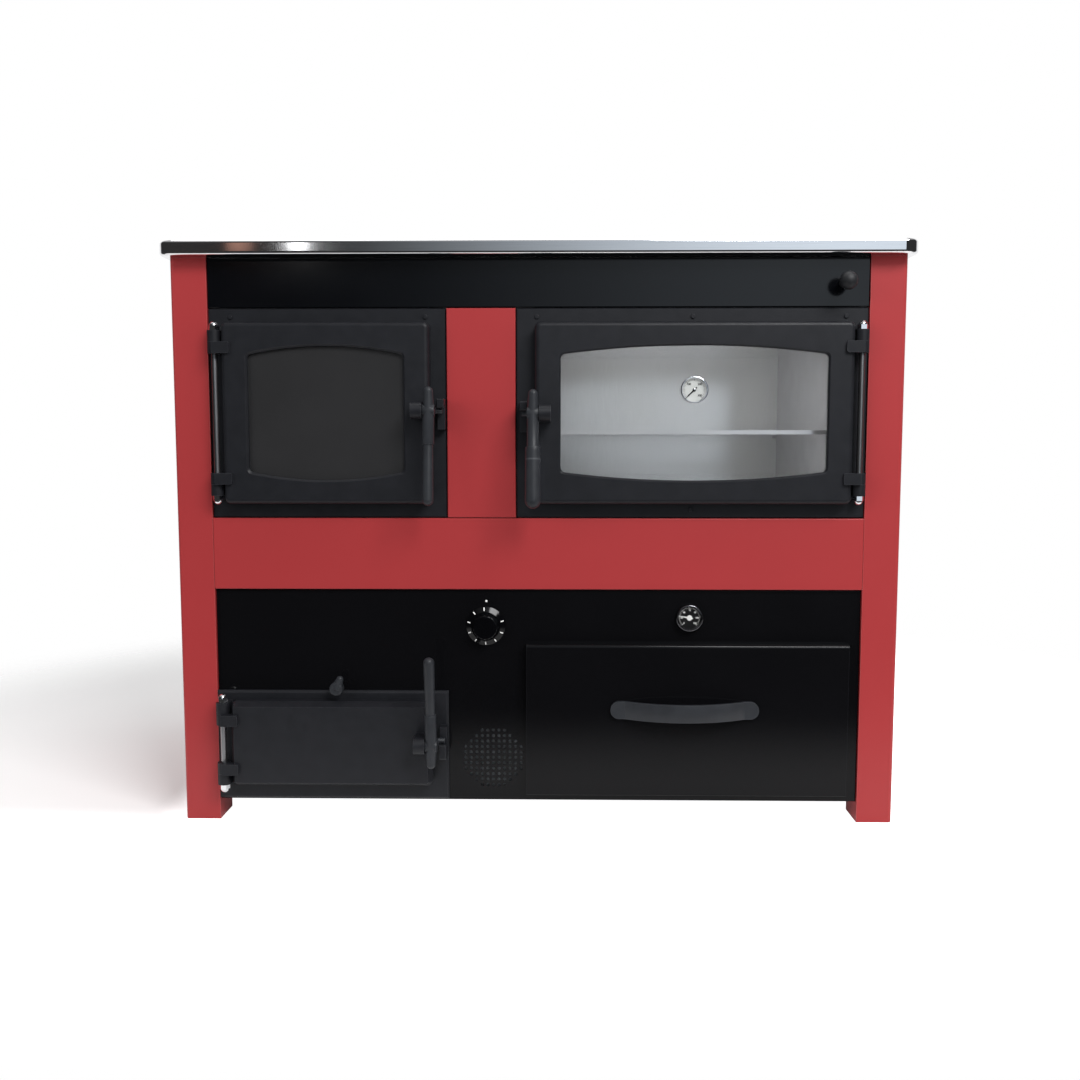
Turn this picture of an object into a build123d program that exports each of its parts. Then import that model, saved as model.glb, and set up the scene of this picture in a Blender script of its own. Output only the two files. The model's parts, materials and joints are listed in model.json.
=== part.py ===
from build123d import *
import os
from collections import namedtuple
from math import cos, hypot, radians, sin

# A free-standing wood cookstove with a water jacket, in millimetres.
# +X is to the right as one stands before it, +Z is up and the front faces -Y.
# Depths are counted from the front face of the columns, positive towards the back,
# and DEPTH_ORIGIN carries them to the part's own origin, at the bottom centre.

# ---- carcass ----
BODY_WIDTH = 1104.0
BODY_DEPTH = 600.0
COLUMN_HEIGHT = 865.0
COLUMN_WIDTH = 55.0
COLUMN_DEPTH = 60.0
COLUMN_WALL = 2.0
COLUMN_EDGE_RADIUS = 6.0
FOOT_PLATE = 4.0
SHEET = 2.0
SHEET_BEND = 1.6
FLOOR_CLEARANCE = 31.0
BASE_THICKNESS = 3.0
BULKHEAD_FACE = 10.0
BULKHEAD_THICKNESS = 3.0
SIDE_PANEL_INSET = 3.0
SIDE_PANEL_FLANGE = 15.0
BACK_PANEL_INSET = 12.0
SEAM = 1.0

# ---- front panels, from the top down ----
FASCIA_HEIGHT = 74.0
FASCIA_FACE = 3.0
PLATE_HEIGHT = 315.0
FIRE_PLATE_WIDTH = 360.0
CENTRE_PANEL_WIDTH = 104.0
PLATE_FACE = 4.0
PLATE_EDGE = 1.5
BAND_HEIGHT = 109.5
LOWER_PANEL_FACE = 6.0

# ---- hob ----
RAIL_HEIGHT = 22.0
RAIL_FRONT_OVERHANG = 28.0
RAIL_SIDE_OVERHANG = 11.0
RAIL_TOP_WIDTH = 50.0
RAIL_LEDGE = 14.0
RAIL_SHEET = 2.5
RAIL_CORNER = 24.0
RAIL_EDGE_RADIUS = 5.0
HOB_DROP = 1.0
HOB_THICKNESS = 12.0
HOB_RIM = 9.0
HOB_SPLIT_MARGIN = 20.0
HOB_GAP = 0.5
LID_RING_RADIUS = 118.0
LID_CENTRE_RADIUS = 72.0
LID_THICKNESS = 6.0
LID_SEAT = 8.0
LID_SPIGOT = 5.0
LID_CLEARANCE = 0.4
LIFTER_SLOT = (22.0, 8.0, 3.0)

# ---- doors ----
DOOR_THICKNESS = 25.0
DOOR_STANDOFF = 3.0
DOOR_SKIN = 8.0
DOOR_RIM = 18.0
DOOR_MARGIN = 22.0
LATCH_MARGIN = 23.0
OVEN_LATCH_MARGIN = 28.5
DOOR_CORNER = 9.0
DOOR_EDGE_RADIUS = 7.0
WINDOW_STILE = 38.5
WINDOW_RAIL = 48.5
WINDOW_RISE = 13.0
WINDOW_CORNER = 8.0
WINDOW_CHAMFER = 2.5
GLASS_THICKNESS = 4.0
GLASS_LAP = 12.0
CLIP_SIZE = (22.0, 10.0, 2.0)
SEAL_WIDTH = 8.0
SEAL_DEPTH = 5.0
SEAL_CLEARANCE = 0.3
THROAT_MARGIN = 32.0
ASH_DOOR_HEIGHT = 132.0
ASH_DOOR_MARGIN = 26.5
ASH_DOOR_BEVEL = 13.0
ASH_FRAME_BOTTOM = 34.5
ASH_FRAME_HEIGHT = 171.0
ASH_FRAME_FACE = -2.0
PANEL_SCREW_RADIUS = 2.5
PANEL_SCREW_HEAD = (3.6, 2.0)
SCREW_CLEARANCE = 0.3
SCREW_INSET = 12.5

# ---- hinges ----
HINGE_MARGIN = 26.0
HINGE_SETBACK = 12.0
HINGE_STANDOFF = 18.0
HINGE_ROD_RADIUS = 4.5
PIN_CLEARANCE = 0.08
FIXED_CLEARANCE = 0.05
BARREL_RADIUS = 10.0
LUG_HEIGHT = 17.0
LUG_GAP = 0.4
LUG_INSET = 29.0
ASH_LUG_INSET = 19.0
LUG_REACH = 26.0
LUG_PROUD = 5.0
LUG_CORNER = 3.0
CAP_NUT_FLATS = 14.0
CAP_NUT_HEX = 7.0
CAP_NUT_DOME = 6.5

# ---- latch handles ----
PIVOT_STANDOFF = 28.0
FIRE_PIVOT_RAISE = 3.5
OVEN_PIVOT_RAISE = -0.5
ASH_PIVOT_RAISE = 8.0
LEVER_OUTSET = 2.0
BLADE_RADIUS = 8.8
BLADE_TIP_RADIUS = 7.0
SPUR_LENGTH = 35.0
GRIP_START = 50.0
GRIP_LENGTH = 140.0
SLIM_GRIP = (7.4, 8.2)
SLEEVE_GRIP = (11.1, 11.5)
GROOVE_START = 18.0
GROOVE = (1.6, 1.0)
GRIP_LEAN = 8.0
BOSS_LENGTH = 16.5
BOSS_RADIUS = 12.5
TRUNNION_RADIUS = 4.0
NOSE_RADIUS = 4.0
NOSE_ARM = 30.0
NOSE_REACH = 8.5
NOSE_ARM_WIDTH = 6.0
CATCH_START = 11.5
CATCH_WIDTH = 11.0
CATCH_ABOVE = 18.0
CATCH_BELOW = 27.0
CATCH_BASE = 18.0
CATCH_LIP = 6.0
CATCH_LIP_CLEARANCE = 0.6
CATCH_BACK_CLEARANCE = 1.2
CATCH_EDGE = 1.5
LATCH_RISE = 4.8

# ---- oven ----
OVEN_SIDE_MARGIN = 19.5
OVEN_FLOOR_MARGIN = 31.5
OVEN_CEILING_MARGIN = 20.0
OVEN_BACK_SPACE = 53.5
OVEN_SHEET = 1.5
OVEN_FLANGE = 10.0
SHELF_HEIGHT = 73.0
SHELF_RUNNER = (9.0, 5.0)
SHELF_SIDE_CLEARANCE = 1.5
SHELF_FRONT_SETBACK = 14.0
SHELF_BACK_CLEARANCE = 8.0
SHELF_LIP = 5.0
THERMOMETER_RAISE = 34.5
THERMOMETER_RADIUS = 20.5
THERMOMETER_DEPTH = 11.0
STEM_RADIUS = 3.0
STEM_LENGTH = 45.0
BEZEL_WALL = 2.0
DIAL_DROP = 4.0
DIAL_GLASS = 1.5
NEEDLE_THICKNESS = 0.6
NEEDLE_HUB = 2.6
ARBOR_RADIUS = 0.8
# Needles at rest, in degrees clockwise from straight up.
OVEN_NEEDLE_ANGLE = 225.0
WATER_NEEDLE_ANGLE = 280.0

# ---- firebox, ash pit and air ----
JACKET_LEFT_MARGIN = 17.0
JACKET_RIGHT_MARGIN = 42.0
JACKET_BACK_SPACE = 68.0
JACKET_WALL = 40.0
JACKET_PLATE = 4.0
JACKET_FRONT_WALL = 8.0
STUB_RADIUS = 16.6
STUB_BORE = 13.0
STUB_COLLAR = 1.4
STUB_COLLAR_PROUD = 2.0
SUPPLY_DROP = 65.0
RETURN_RISE = 52.0
GRATE_ABOVE_FRAME = 2.5
GRATE_THICKNESS = 18.0
GRATE_LIP = 12.0
GRATE_SIDE_CLEARANCE = 1.5
GRATE_FRONT_SETBACK = 29.0
GRATE_BACK_CLEARANCE = 28.0
GRATE_BORDER = 18.0
GRATE_SLOT = 13.0
GRATE_PITCH = 24.0
GRATE_CROSSBAR = 14.0
RIDDLE_ROD_RADIUS = 4.0
RIDDLE_ROD_RISE = 5.0
RIDDLE_MARGIN = 190.0
RIDDLE_HUB_RADIUS = 10.5
RIDDLE_HUB_FRONT = -26.0
RIDDLE_HUB_LENGTH = 13.0
RIDDLE_THUMB = (21.0, 5.5, 20.0)
ROD_HOLE_CLEARANCE = 0.5
PIT_RIGHT_MARGIN = 7.0
PIT_SHEET = 3.0
PAN_WALL = 1.5
PAN_SIDE_CLEARANCE = 6.0
PAN_HEIGHT = 62.0
PAN_FRONT = 62.0
PAN_BACK_SPACE = 55.0
PAN_BAIL = (70.0, 22.0, 3.0)
AIR_BOX_REACH = 58.0
AIR_BOX_DEPTH = 104.0
AIR_BOX_HEIGHT = 120.0
FLAP_THICKNESS = 2.0
FLAP_GAP = 0.6
FLAP_LAP = 2.0
FLAP_PIN_RADIUS = 2.5

# ---- controls on the lower panel ----
DIAL_MARGIN = 58.0
DIAL_BELOW_BAND = 57.5
DIAL_RIM = 1.0
DIAL_SKIRT = (30.0, 22.4, 5.5)
DIAL_CAP = (19.0, 14.0)
DIAL_SPINDLE_RADIUS = 4.0
DIAL_FLUTES = 18
DIAL_FLUTE_RADIUS = 1.6
THERMOSTAT_BODY = (30.0, 40.0, 48.0)
GAUGE_BELOW_BAND = 43.5
GAUGE_RADIUS = 20.5
GAUGE_DEPTH = 10.0
GAUGE_CAN_RADIUS = 17.0
GAUGE_CAN_LENGTH = 30.0
GRILLE_MARGIN = 69.0
GRILLE_Z = 98.7
GRILLE_RADIUS = 50.0
GRILLE_PITCH = 8.7
GRILLE_HOLE_RADIUS = 2.6

# ---- fuel drawer ----
DRAWER_LEFT_MARGIN = 15.0
DRAWER_RIGHT_MARGIN = 19.5
DRAWER_BOTTOM = 44.0
DRAWER_BELOW_BAND = 83.5
DRAWER_FACE = -10.0
DRAWER_SHEET = 1.5
DRAWER_TOP_BEND = 5.0
DRAWER_PANEL_GAP = 0.5
DRAWER_BOX_MARGIN = 17.0
DRAWER_BOX_RISE = 10.0
DRAWER_BOX_DROP = 42.0
DRAWER_BACK_SPACE = 116.5
DRAWER_CLEARANCE = 4.0
RUNNER_WIDTH = 20.0
BOW_LENGTH = 227.0
BOW_OFFSET = -4.0
BOW_RAISE = 136.0
BOW_HEIGHT = 27.0
BOW_RISE = 30.0
BOW_THICKNESS = 6.0
BOW_FOOT = 22.0

# ---- flue and damper ----
DAMPER_MARGIN = 41.0
DAMPER_DROP = 40.0
DAMPER_ROD_RADIUS = 4.0
DAMPER_KNOB_RADIUS = 13.5
DAMPER_KNOB_CENTRE = -31.0
DAMPER_NECK_RADIUS = 6.5
DAMPER_STOP = 3.0
DAMPER_PLATE_THICKNESS = 3.0
DAMPER_PLATE_LAP = 6.0
DAMPER_LEAK_RADIUS = 12.0
FLUE_MARGIN = 109.0
FLUE_DROP = 93.0
FLUE_RADIUS = 74.5
FLUE_WALL = 4.0
FLUE_FLANGE = 13.0
FLUE_FLANGE_THICKNESS = 4.0
FLUE_HOLE_CLEARANCE = 2.0
REAR_REACH = 40.0
SMOKE_SHEET = 2.0
SMOKE_BACK_SPACE = 31.0
SMOKE_BELOW_OVEN = 44.5
SMOKE_RIGHT_MARGIN = 19.0
SMOKE_PASS = 64.0

# ---- places that follow from the sizes above: heights ----
BASE_TOP = FLOOR_CLEARANCE + BASE_THICKNESS
FASCIA_BOTTOM = COLUMN_HEIGHT - FASCIA_HEIGHT
PLATE_TOP = FASCIA_BOTTOM - SEAM
PLATE_BOTTOM = PLATE_TOP - PLATE_HEIGHT
BAND_TOP = PLATE_BOTTOM - SEAM
BAND_BOTTOM = BAND_TOP - BAND_HEIGHT
RAIL_TOP = COLUMN_HEIGHT + RAIL_HEIGHT
HOB_TOP = RAIL_TOP - HOB_DROP
HOB_UNDERSIDE = HOB_TOP - HOB_THICKNESS
HOB_SEAT = COLUMN_HEIGHT + RAIL_SHEET
ASH_FRAME_TOP = ASH_FRAME_BOTTOM + ASH_FRAME_HEIGHT
GRATE_LEVEL = ASH_FRAME_TOP + GRATE_ABOVE_FRAME
RIDDLE_Z = GRATE_LEVEL + RIDDLE_ROD_RISE
SUPPLY_HEIGHT = COLUMN_HEIGHT - SUPPLY_DROP
RETURN_HEIGHT = GRATE_LEVEL + RETURN_RISE
DAMPER_Z = COLUMN_HEIGHT - DAMPER_DROP
FLUE_Z = COLUMN_HEIGHT - FLUE_DROP
DIAL_Z = BAND_BOTTOM - DIAL_BELOW_BAND
GAUGE_Z = BAND_BOTTOM - GAUGE_BELOW_BAND
DRAWER_TOP = BAND_BOTTOM - DRAWER_BELOW_BAND
DRAWER_BOX_BOTTOM = DRAWER_BOTTOM + DRAWER_BOX_RISE
DRAWER_BOX_TOP = DRAWER_TOP - DRAWER_BOX_DROP
BOW_Z = DRAWER_BOTTOM + BOW_RAISE

# ---- places that follow: across the front ----
INNER_X = BODY_WIDTH / 2 - COLUMN_WIDTH
FIRE_PLATE_RIGHT = -INNER_X + FIRE_PLATE_WIDTH
CENTRE_LEFT = FIRE_PLATE_RIGHT + SEAM
CENTRE_RIGHT = CENTRE_LEFT + CENTRE_PANEL_WIDTH
OVEN_PLATE_LEFT = CENTRE_RIGHT + SEAM
HOB_SPLIT_X = FIRE_PLATE_RIGHT + HOB_SPLIT_MARGIN
RIDDLE_X = -INNER_X + RIDDLE_MARGIN
DIAL_X = FIRE_PLATE_RIGHT + DIAL_MARGIN
GRILLE_X = FIRE_PLATE_RIGHT + GRILLE_MARGIN
AIR_BOX_RIGHT_X = GRILLE_X + AIR_BOX_REACH
PIT_RIGHT_X = FIRE_PLATE_RIGHT + PIT_RIGHT_MARGIN
DRAWER_LEFT_X = OVEN_PLATE_LEFT + DRAWER_LEFT_MARGIN
DRAWER_RIGHT_X = INNER_X - DRAWER_RIGHT_MARGIN
BOW_X = (DRAWER_LEFT_X + DRAWER_RIGHT_X) / 2 + BOW_OFFSET
DAMPER_X = INNER_X - DAMPER_MARGIN
FLUE_X = INNER_X - FLUE_MARGIN
SMOKE_RIGHT_X = INNER_X - SMOKE_RIGHT_MARGIN
JACKET_LEFT_X = -INNER_X + JACKET_LEFT_MARGIN
JACKET_RIGHT_X = FIRE_PLATE_RIGHT + JACKET_RIGHT_MARGIN
FIREBOX_LEFT = JACKET_LEFT_X + JACKET_WALL
FIREBOX_RIGHT = JACKET_RIGHT_X - JACKET_WALL
LID_X = (FIREBOX_LEFT + FIREBOX_RIGHT) / 2
STUB_X = (FIREBOX_LEFT + FIREBOX_RIGHT) / 2

# ---- places that follow: depths ----
BULKHEAD_BACK = BULKHEAD_FACE + BULKHEAD_THICKNESS
BACK_PANEL_FACE = BODY_DEPTH - BACK_PANEL_INSET
RAIL_LEDGE_EDGE = -RAIL_FRONT_OVERHANG + RAIL_TOP_WIDTH + RAIL_LEDGE
SMOKE_BACK = BODY_DEPTH - RAIL_TOP_WIDTH - RAIL_LEDGE - SMOKE_BACK_SPACE
OVEN_DEPTH = SMOKE_BACK - BULKHEAD_BACK - OVEN_SHEET - OVEN_BACK_SPACE
JACKET_BACK = BACK_PANEL_FACE - JACKET_BACK_SPACE
FIREBOX_FRONT = BULKHEAD_BACK + JACKET_FRONT_WALL
FIREBOX_BACK = JACKET_BACK - JACKET_WALL
LID_CENTRE_BACK = (FIREBOX_FRONT + FIREBOX_BACK) / 2
PAN_BACK = JACKET_BACK - PIT_SHEET - PAN_BACK_SPACE
DRAWER_BOX_BACK = BACK_PANEL_FACE - DRAWER_BACK_SPACE
STUB_SHOULDER = BACK_PANEL_FACE + STUB_COLLAR_PROUD
REAR_END = BODY_DEPTH + REAR_REACH
FRONT_REACH = (
    DOOR_STANDOFF
    - ASH_FRAME_FACE
    + DOOR_THICKNESS
    + PIVOT_STANDOFF
    + GRIP_LENGTH * sin(radians(GRIP_LEAN))
    + SLIM_GRIP[1] * (1 - sin(radians(GRIP_LEAN)))
)
DEPTH_ORIGIN = (FRONT_REACH - REAR_END) / 2

# A door hangs on the side hinge_side (-1 left, +1 right). window is the window's width,
# or 0 for none. lift is +1 where the grip of its handle hangs below the pivot, and -1
# where the grip stands above it. grip holds the grip's radius at its start and its end.
Door = namedtuple(
    "Door",
    "hinge_side hinge_x free_x bottom top face window lift pivot_raise lug_inset grip",
)


def make_upper_door(hinge_side, plate_width, latch_margin, pivot_raise, grip):
    """A glazed door in one of the two upper frame plates."""
    hinge_x = hinge_side * (INNER_X - HINGE_MARGIN)
    width = plate_width - HINGE_MARGIN - latch_margin
    return Door(
        hinge_side=hinge_side,
        hinge_x=hinge_x,
        free_x=hinge_x - hinge_side * width,
        bottom=PLATE_BOTTOM + DOOR_MARGIN,
        top=PLATE_TOP - DOOR_MARGIN,
        face=PLATE_FACE,
        window=width - 2 * WINDOW_STILE,
        lift=1,
        pivot_raise=pivot_raise,
        lug_inset=LUG_INSET,
        grip=grip,
    )


FIRE = make_upper_door(-1, FIRE_PLATE_WIDTH, LATCH_MARGIN, FIRE_PIVOT_RAISE, SLIM_GRIP)
OVEN_PLATE_WIDTH = INNER_X - OVEN_PLATE_LEFT
OVEN = make_upper_door(1, OVEN_PLATE_WIDTH, OVEN_LATCH_MARGIN, OVEN_PIVOT_RAISE, SLEEVE_GRIP)
ASH = FIRE._replace(
    bottom=ASH_FRAME_BOTTOM + ASH_DOOR_MARGIN,
    top=ASH_FRAME_BOTTOM + ASH_DOOR_MARGIN + ASH_DOOR_HEIGHT,
    face=ASH_FRAME_FACE,
    window=0.0,
    lift=-1,
    pivot_raise=ASH_PIVOT_RAISE,
    lug_inset=ASH_LUG_INSET,
)
DOORS = (FIRE, OVEN, ASH)

GAUGE_X = (OVEN.free_x + OVEN.hinge_x) / 2
OVEN_LEFT = OVEN.free_x + OVEN_SIDE_MARGIN
OVEN_RIGHT = OVEN.hinge_x - OVEN_SIDE_MARGIN
OVEN_FLOOR = OVEN.bottom + OVEN_FLOOR_MARGIN
OVEN_CEILING = OVEN.top - OVEN_CEILING_MARGIN
SMOKE_BOTTOM = OVEN_FLOOR - SMOKE_BELOW_OVEN
SHELF_Z = OVEN_FLOOR + SHELF_HEIGHT


# ---- small helpers ----
def block(x0, x1, y0, y1, z0, z1):
    """A box between two corners, with y as a depth."""
    centre = Pos((x0 + x1) / 2, DEPTH_ORIGIN + (y0 + y1) / 2, (z0 + z1) / 2)
    return centre * Box(abs(x1 - x0), abs(y1 - y0), abs(z1 - z0))


def bar_x(x0, x1, y, z, radius):
    """A round bar along X."""
    return Pos((x0 + x1) / 2, DEPTH_ORIGIN + y, z) * Rot(0, 90, 0) * Cylinder(radius, abs(x1 - x0))


def bar_y(x, y0, y1, z, radius):
    """A round bar along Y, with y as a depth."""
    return Pos(x, DEPTH_ORIGIN + (y0 + y1) / 2, z) * Rot(90, 0, 0) * Cylinder(radius, abs(y1 - y0))


def bar_z(x, y, z0, z1, radius):
    """A round bar along Z."""
    return Pos(x, DEPTH_ORIGIN + y, (z0 + z1) / 2) * Cylinder(radius, abs(z1 - z0))


def front_edges(shape):
    """The edges around the face that looks furthest forward."""
    return shape.faces().sort_by(Axis.Y)[0].edges()


def tray(x0, x1, z0, z1, face, back):
    """A sheet panel folded back along its four edges, as deep as from face to back."""
    outer = block(x0, x1, face, back, z0, z1)
    outer = fillet(front_edges(outer), SHEET_BEND)
    return outer - block(x0 + SHEET, x1 - SHEET, face + SHEET, back, z0 + SHEET, z1 - SHEET)


def outline_slab(face, y0, y1):
    """A front-view face drawn in X and Z, made solid from depth y0 to depth y1."""
    plane = Plane(origin=(0, DEPTH_ORIGIN + y1, 0), x_dir=(1, 0, 0), z_dir=(0, -1, 0))
    return extrude(plane * face, amount=y1 - y0)


def ring_slab(x0, x1, z0, z1, width, y0, y1):
    """A rectangular ring of one width, in front view."""
    outer = block(x0, x1, y0, y1, z0, z1)
    return outer - block(x0 + width, x1 - width, y0, y1, z0 + width, z1 - width)


# ---- doors, shared forms ----
def door_span(door):
    """The door's left and right edges."""
    return min(door.hinge_x, door.free_x), max(door.hinge_x, door.free_x)


def door_front(door):
    """Depth of the door's front face."""
    return door.face - DOOR_STANDOFF - DOOR_THICKNESS


def door_back(door):
    """Depth of the rear face of the door's rim."""
    return door.face - DOOR_STANDOFF


def hinge_axis(door):
    """X and depth of the hinge rod."""
    return door.hinge_x + door.hinge_side * HINGE_SETBACK, door.face - HINGE_STANDOFF


def lug_bottoms(door):
    """Heights of the undersides of the door's lower and upper lug."""
    inset = door.lug_inset + LUG_GAP
    return door.bottom + inset, door.top - inset - LUG_HEIGHT


def knuckle_bottoms(door):
    """Heights of the undersides of the fixed knuckles below and above the lugs."""
    lower, upper = lug_bottoms(door)
    return lower - LUG_GAP - LUG_HEIGHT, upper + LUG_HEIGHT + LUG_GAP


def pivot(door):
    """X, depth and height of the middle of the handle's pivot."""
    x = door.free_x - door.hinge_side * LEVER_OUTSET
    return x, door_front(door) - PIVOT_STANDOFF, (door.bottom + door.top) / 2 + door.pivot_raise


def window_face(door, grow):
    """The window's outline: straight sides, bowed top and bottom, grown by a margin."""
    left, right = door_span(door)
    middle = (left + right) / 2
    half = door.window / 2 + grow
    centre = (door.bottom + door.top) / 2
    side = (door.top - door.bottom) / 2 - WINDOW_RAIL + grow
    crown = side + WINDOW_RISE
    edges = [
        Line((middle - half, centre - side), (middle - half, centre + side)),
        ThreePointArc(
            (middle - half, centre + side), (middle, centre + crown), (middle + half, centre + side)
        ),
        Line((middle + half, centre + side), (middle + half, centre - side)),
        ThreePointArc(
            (middle + half, centre - side), (middle, centre - crown), (middle - half, centre - side)
        ),
    ]
    face = make_face(edges)
    return fillet(face.vertices(), WINDOW_CORNER)


def hinge_lug(door, bottom):
    """A barrel on the hinge rod and a strap over the door's face."""
    x, y = hinge_axis(door)
    inward = -door.hinge_side
    top = bottom + LUG_HEIGHT
    barrel = bar_z(x, y, bottom, top, BARREL_RADIUS)
    front = door_front(door)
    strap_end = x + inward * LUG_REACH
    strap = block(x, strap_end, front - LUG_PROUD, front + DOOR_SKIN / 2, bottom, top)
    corners = [edge for edge in strap.edges().filter_by(Axis.Y) if abs(edge.center().X - strap_end) < LUG_GAP]
    strap = fillet(corners, LUG_CORNER)
    web = block(x, door.hinge_x + inward * DOOR_EDGE_RADIUS, front + DOOR_SKIN / 2, y, bottom, top)
    throat = block(
        x, x - inward * 2 * BARREL_RADIUS, front - LUG_PROUD, y - BARREL_RADIUS, bottom, top
    )
    return (barrel + strap + web) - throat


def latch_boss(door):
    """The boss on the door's face that the handle's trunnion turns in."""
    x, y, z = pivot(door)
    side = door.hinge_side
    near = x + side * (BLADE_RADIUS + ROD_HOLE_CLEARANCE)
    far = near + side * BOSS_LENGTH
    body = bar_x(near, far, y, z, BOSS_RADIUS)
    root = block(near, far, y, door_front(door) + DOOR_SKIN / 2, z - BOSS_RADIUS, z + BOSS_RADIUS)
    return body + root


def door_body(door):
    """A cast door: a skin with a deep rim, a seal groove, lugs, latch boss and window."""
    left, right = door_span(door)
    front = door_front(door)
    back = door_back(door)
    slab = block(left, right, front, back, door.bottom, door.top)
    slab = fillet(slab.edges().filter_by(Axis.Y), DOOR_CORNER)
    if door.window:
        slab = fillet(front_edges(slab), DOOR_EDGE_RADIUS)
    else:
        slab = chamfer(front_edges(slab), ASH_DOOR_BEVEL / 2, ASH_DOOR_BEVEL)
    hollow = block(
        left + DOOR_RIM, right - DOOR_RIM, front + DOOR_SKIN, back, door.bottom + DOOR_RIM, door.top - DOOR_RIM
    )
    slab = slab - hollow - seal_ring(door, SEAL_CLEARANCE, 0.0)
    if door.window:
        slab = slab - outline_slab(window_face(door, 0.0), front, front + DOOR_SKIN)
        bevel = loft(
            [
                Plane(origin=(0, DEPTH_ORIGIN + front + WINDOW_CHAMFER, 0), x_dir=(1, 0, 0), z_dir=(0, -1, 0))
                * window_face(door, 0.0),
                Plane(origin=(0, DEPTH_ORIGIN + front, 0), x_dir=(1, 0, 0), z_dir=(0, -1, 0))
                * window_face(door, WINDOW_CHAMFER),
            ]
        )
        slab = slab - bevel
    for bottom in lug_bottoms(door):
        slab = slab + hinge_lug(door, bottom)
    slab = slab + latch_boss(door)
    x, y, z = pivot(door)
    axis_x, axis_y = hinge_axis(door)
    rod_hole = bar_z(axis_x, axis_y, door.bottom, door.top, HINGE_ROD_RADIUS + PIN_CLEARANCE)
    reach = BLADE_RADIUS + BOSS_LENGTH + BOSS_RADIUS
    trunnion_hole = bar_x(x, x + door.hinge_side * reach, y, z, TRUNNION_RADIUS + PIN_CLEARANCE)
    return slab - rod_hole - trunnion_hole


def seal_ring(door, grow, proud):
    """The rope seal in the rim, grown to cut its groove; proud of the rim by the standoff."""
    left, right = door_span(door)
    inset = (DOOR_RIM - SEAL_WIDTH) / 2 - grow
    back = door_back(door)
    return ring_slab(
        left + inset,
        right - inset,
        door.bottom + inset,
        door.top - inset,
        SEAL_WIDTH + 2 * grow,
        back - SEAL_DEPTH - grow,
        back + proud,
    )


def door_seal(door):
    """Glass-fibre rope, a hair short of the plate that the door shuts on."""
    return seal_ring(door, 0.0, DOOR_STANDOFF - SEAL_CLEARANCE)


def glass_corners(door):
    """Left, right, bottom and top of the pane."""
    left, right = door_span(door)
    middle = (left + right) / 2
    centre = (door.bottom + door.top) / 2
    half = door.window / 2 + GLASS_LAP
    side = (door.top - door.bottom) / 2 - WINDOW_RAIL + WINDOW_RISE + GLASS_LAP
    return middle - half, middle + half, centre - side, centre + side


def door_glass(door):
    """Flat ceramic glass against the inside of the door's skin."""
    left, right, bottom, top = glass_corners(door)
    face = door_front(door) + DOOR_SKIN
    return block(left, right, face, face + GLASS_THICKNESS, bottom, top)


def glass_clips(door):
    """Four stepped clips that hold the pane's top and bottom edges."""
    left, right, bottom, top = glass_corners(door)
    length, reach, thick = CLIP_SIZE
    face = door_front(door) + DOOR_SKIN
    clips = []
    for x in (left + length, right - length):
        for edge, outward in ((bottom, -1), (top, 1)):
            foot = block(
                x - length / 2,
                x + length / 2,
                face,
                face + GLASS_THICKNESS + thick,
                edge + outward * SCREW_CLEARANCE,
                edge + outward * reach / 2,
            )
            tongue = block(
                x - length / 2,
                x + length / 2,
                face + GLASS_THICKNESS,
                face + GLASS_THICKNESS + thick,
                edge + outward * SCREW_CLEARANCE,
                edge - outward * reach / 2,
            )
            clips.append(foot + tongue)
    return clips


def catch(door):
    """The fixed catch: a base on the plate and an arm with a lip that hooks the nose."""
    x, y, z = pivot(door)
    side = -door.hinge_side
    near = door.free_x + side * CATCH_START
    far = near + side * CATCH_WIDTH
    lift = door.lift
    low = z - CATCH_BELOW
    high = z + CATCH_ABOVE
    hooked_end = high if lift > 0 else low
    nose_y = y + NOSE_ARM
    lip_back = nose_y - NOSE_RADIUS - CATCH_BACK_CLEARANCE
    lip_front = lip_back - CATCH_LIP
    base = block(near, far, door.face - CATCH_BASE, door.face, low, high)
    arm_low = z + lift * (NOSE_RADIUS + LATCH_RISE)
    arm = block(near, far, lip_front, door.face, arm_low, hooked_end)
    lip_low = z + lift * (NOSE_RADIUS + CATCH_LIP_CLEARANCE)
    lip = block(near, far, lip_front, lip_back, lip_low, hooked_end)
    hook = base + arm + lip
    return chamfer(front_edges(hook), CATCH_EDGE)


def hinge_knuckle(door, bottom):
    """A fixed knuckle: a barrel that stands off the plate on a short bracket."""
    x, y = hinge_axis(door)
    top = bottom + LUG_HEIGHT
    barrel = bar_z(x, y, bottom, top, BARREL_RADIUS)
    bracket = block(x - BARREL_RADIUS, x + BARREL_RADIUS, y, door.face, bottom, top)
    return barrel + bracket


def plate_fittings(plate, door):
    """Add the catch and the knuckles to a frame plate, and bore the knuckles."""
    plate = plate + catch(door)
    for bottom in knuckle_bottoms(door):
        plate = plate + hinge_knuckle(door, bottom)
    x, y = hinge_axis(door)
    low, high = knuckle_bottoms(door)
    return plate - bar_z(x, y, low, high + LUG_HEIGHT, HINGE_ROD_RADIUS + FIXED_CLEARANCE)


def throat(door, y0, y1):
    """The opening behind a door, smaller than the door all round."""
    left, right = door_span(door)
    return block(
        left + THROAT_MARGIN,
        right - THROAT_MARGIN,
        y0,
        y1,
        door.bottom + THROAT_MARGIN - DOOR_RIM / 2,
        door.top - THROAT_MARGIN + DOOR_RIM / 2,
    )


def oven_mouth(y0, y1):
    """The oven's clear opening."""
    return block(OVEN_LEFT, OVEN_RIGHT, y0, y1, OVEN_FLOOR, OVEN_CEILING)


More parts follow.
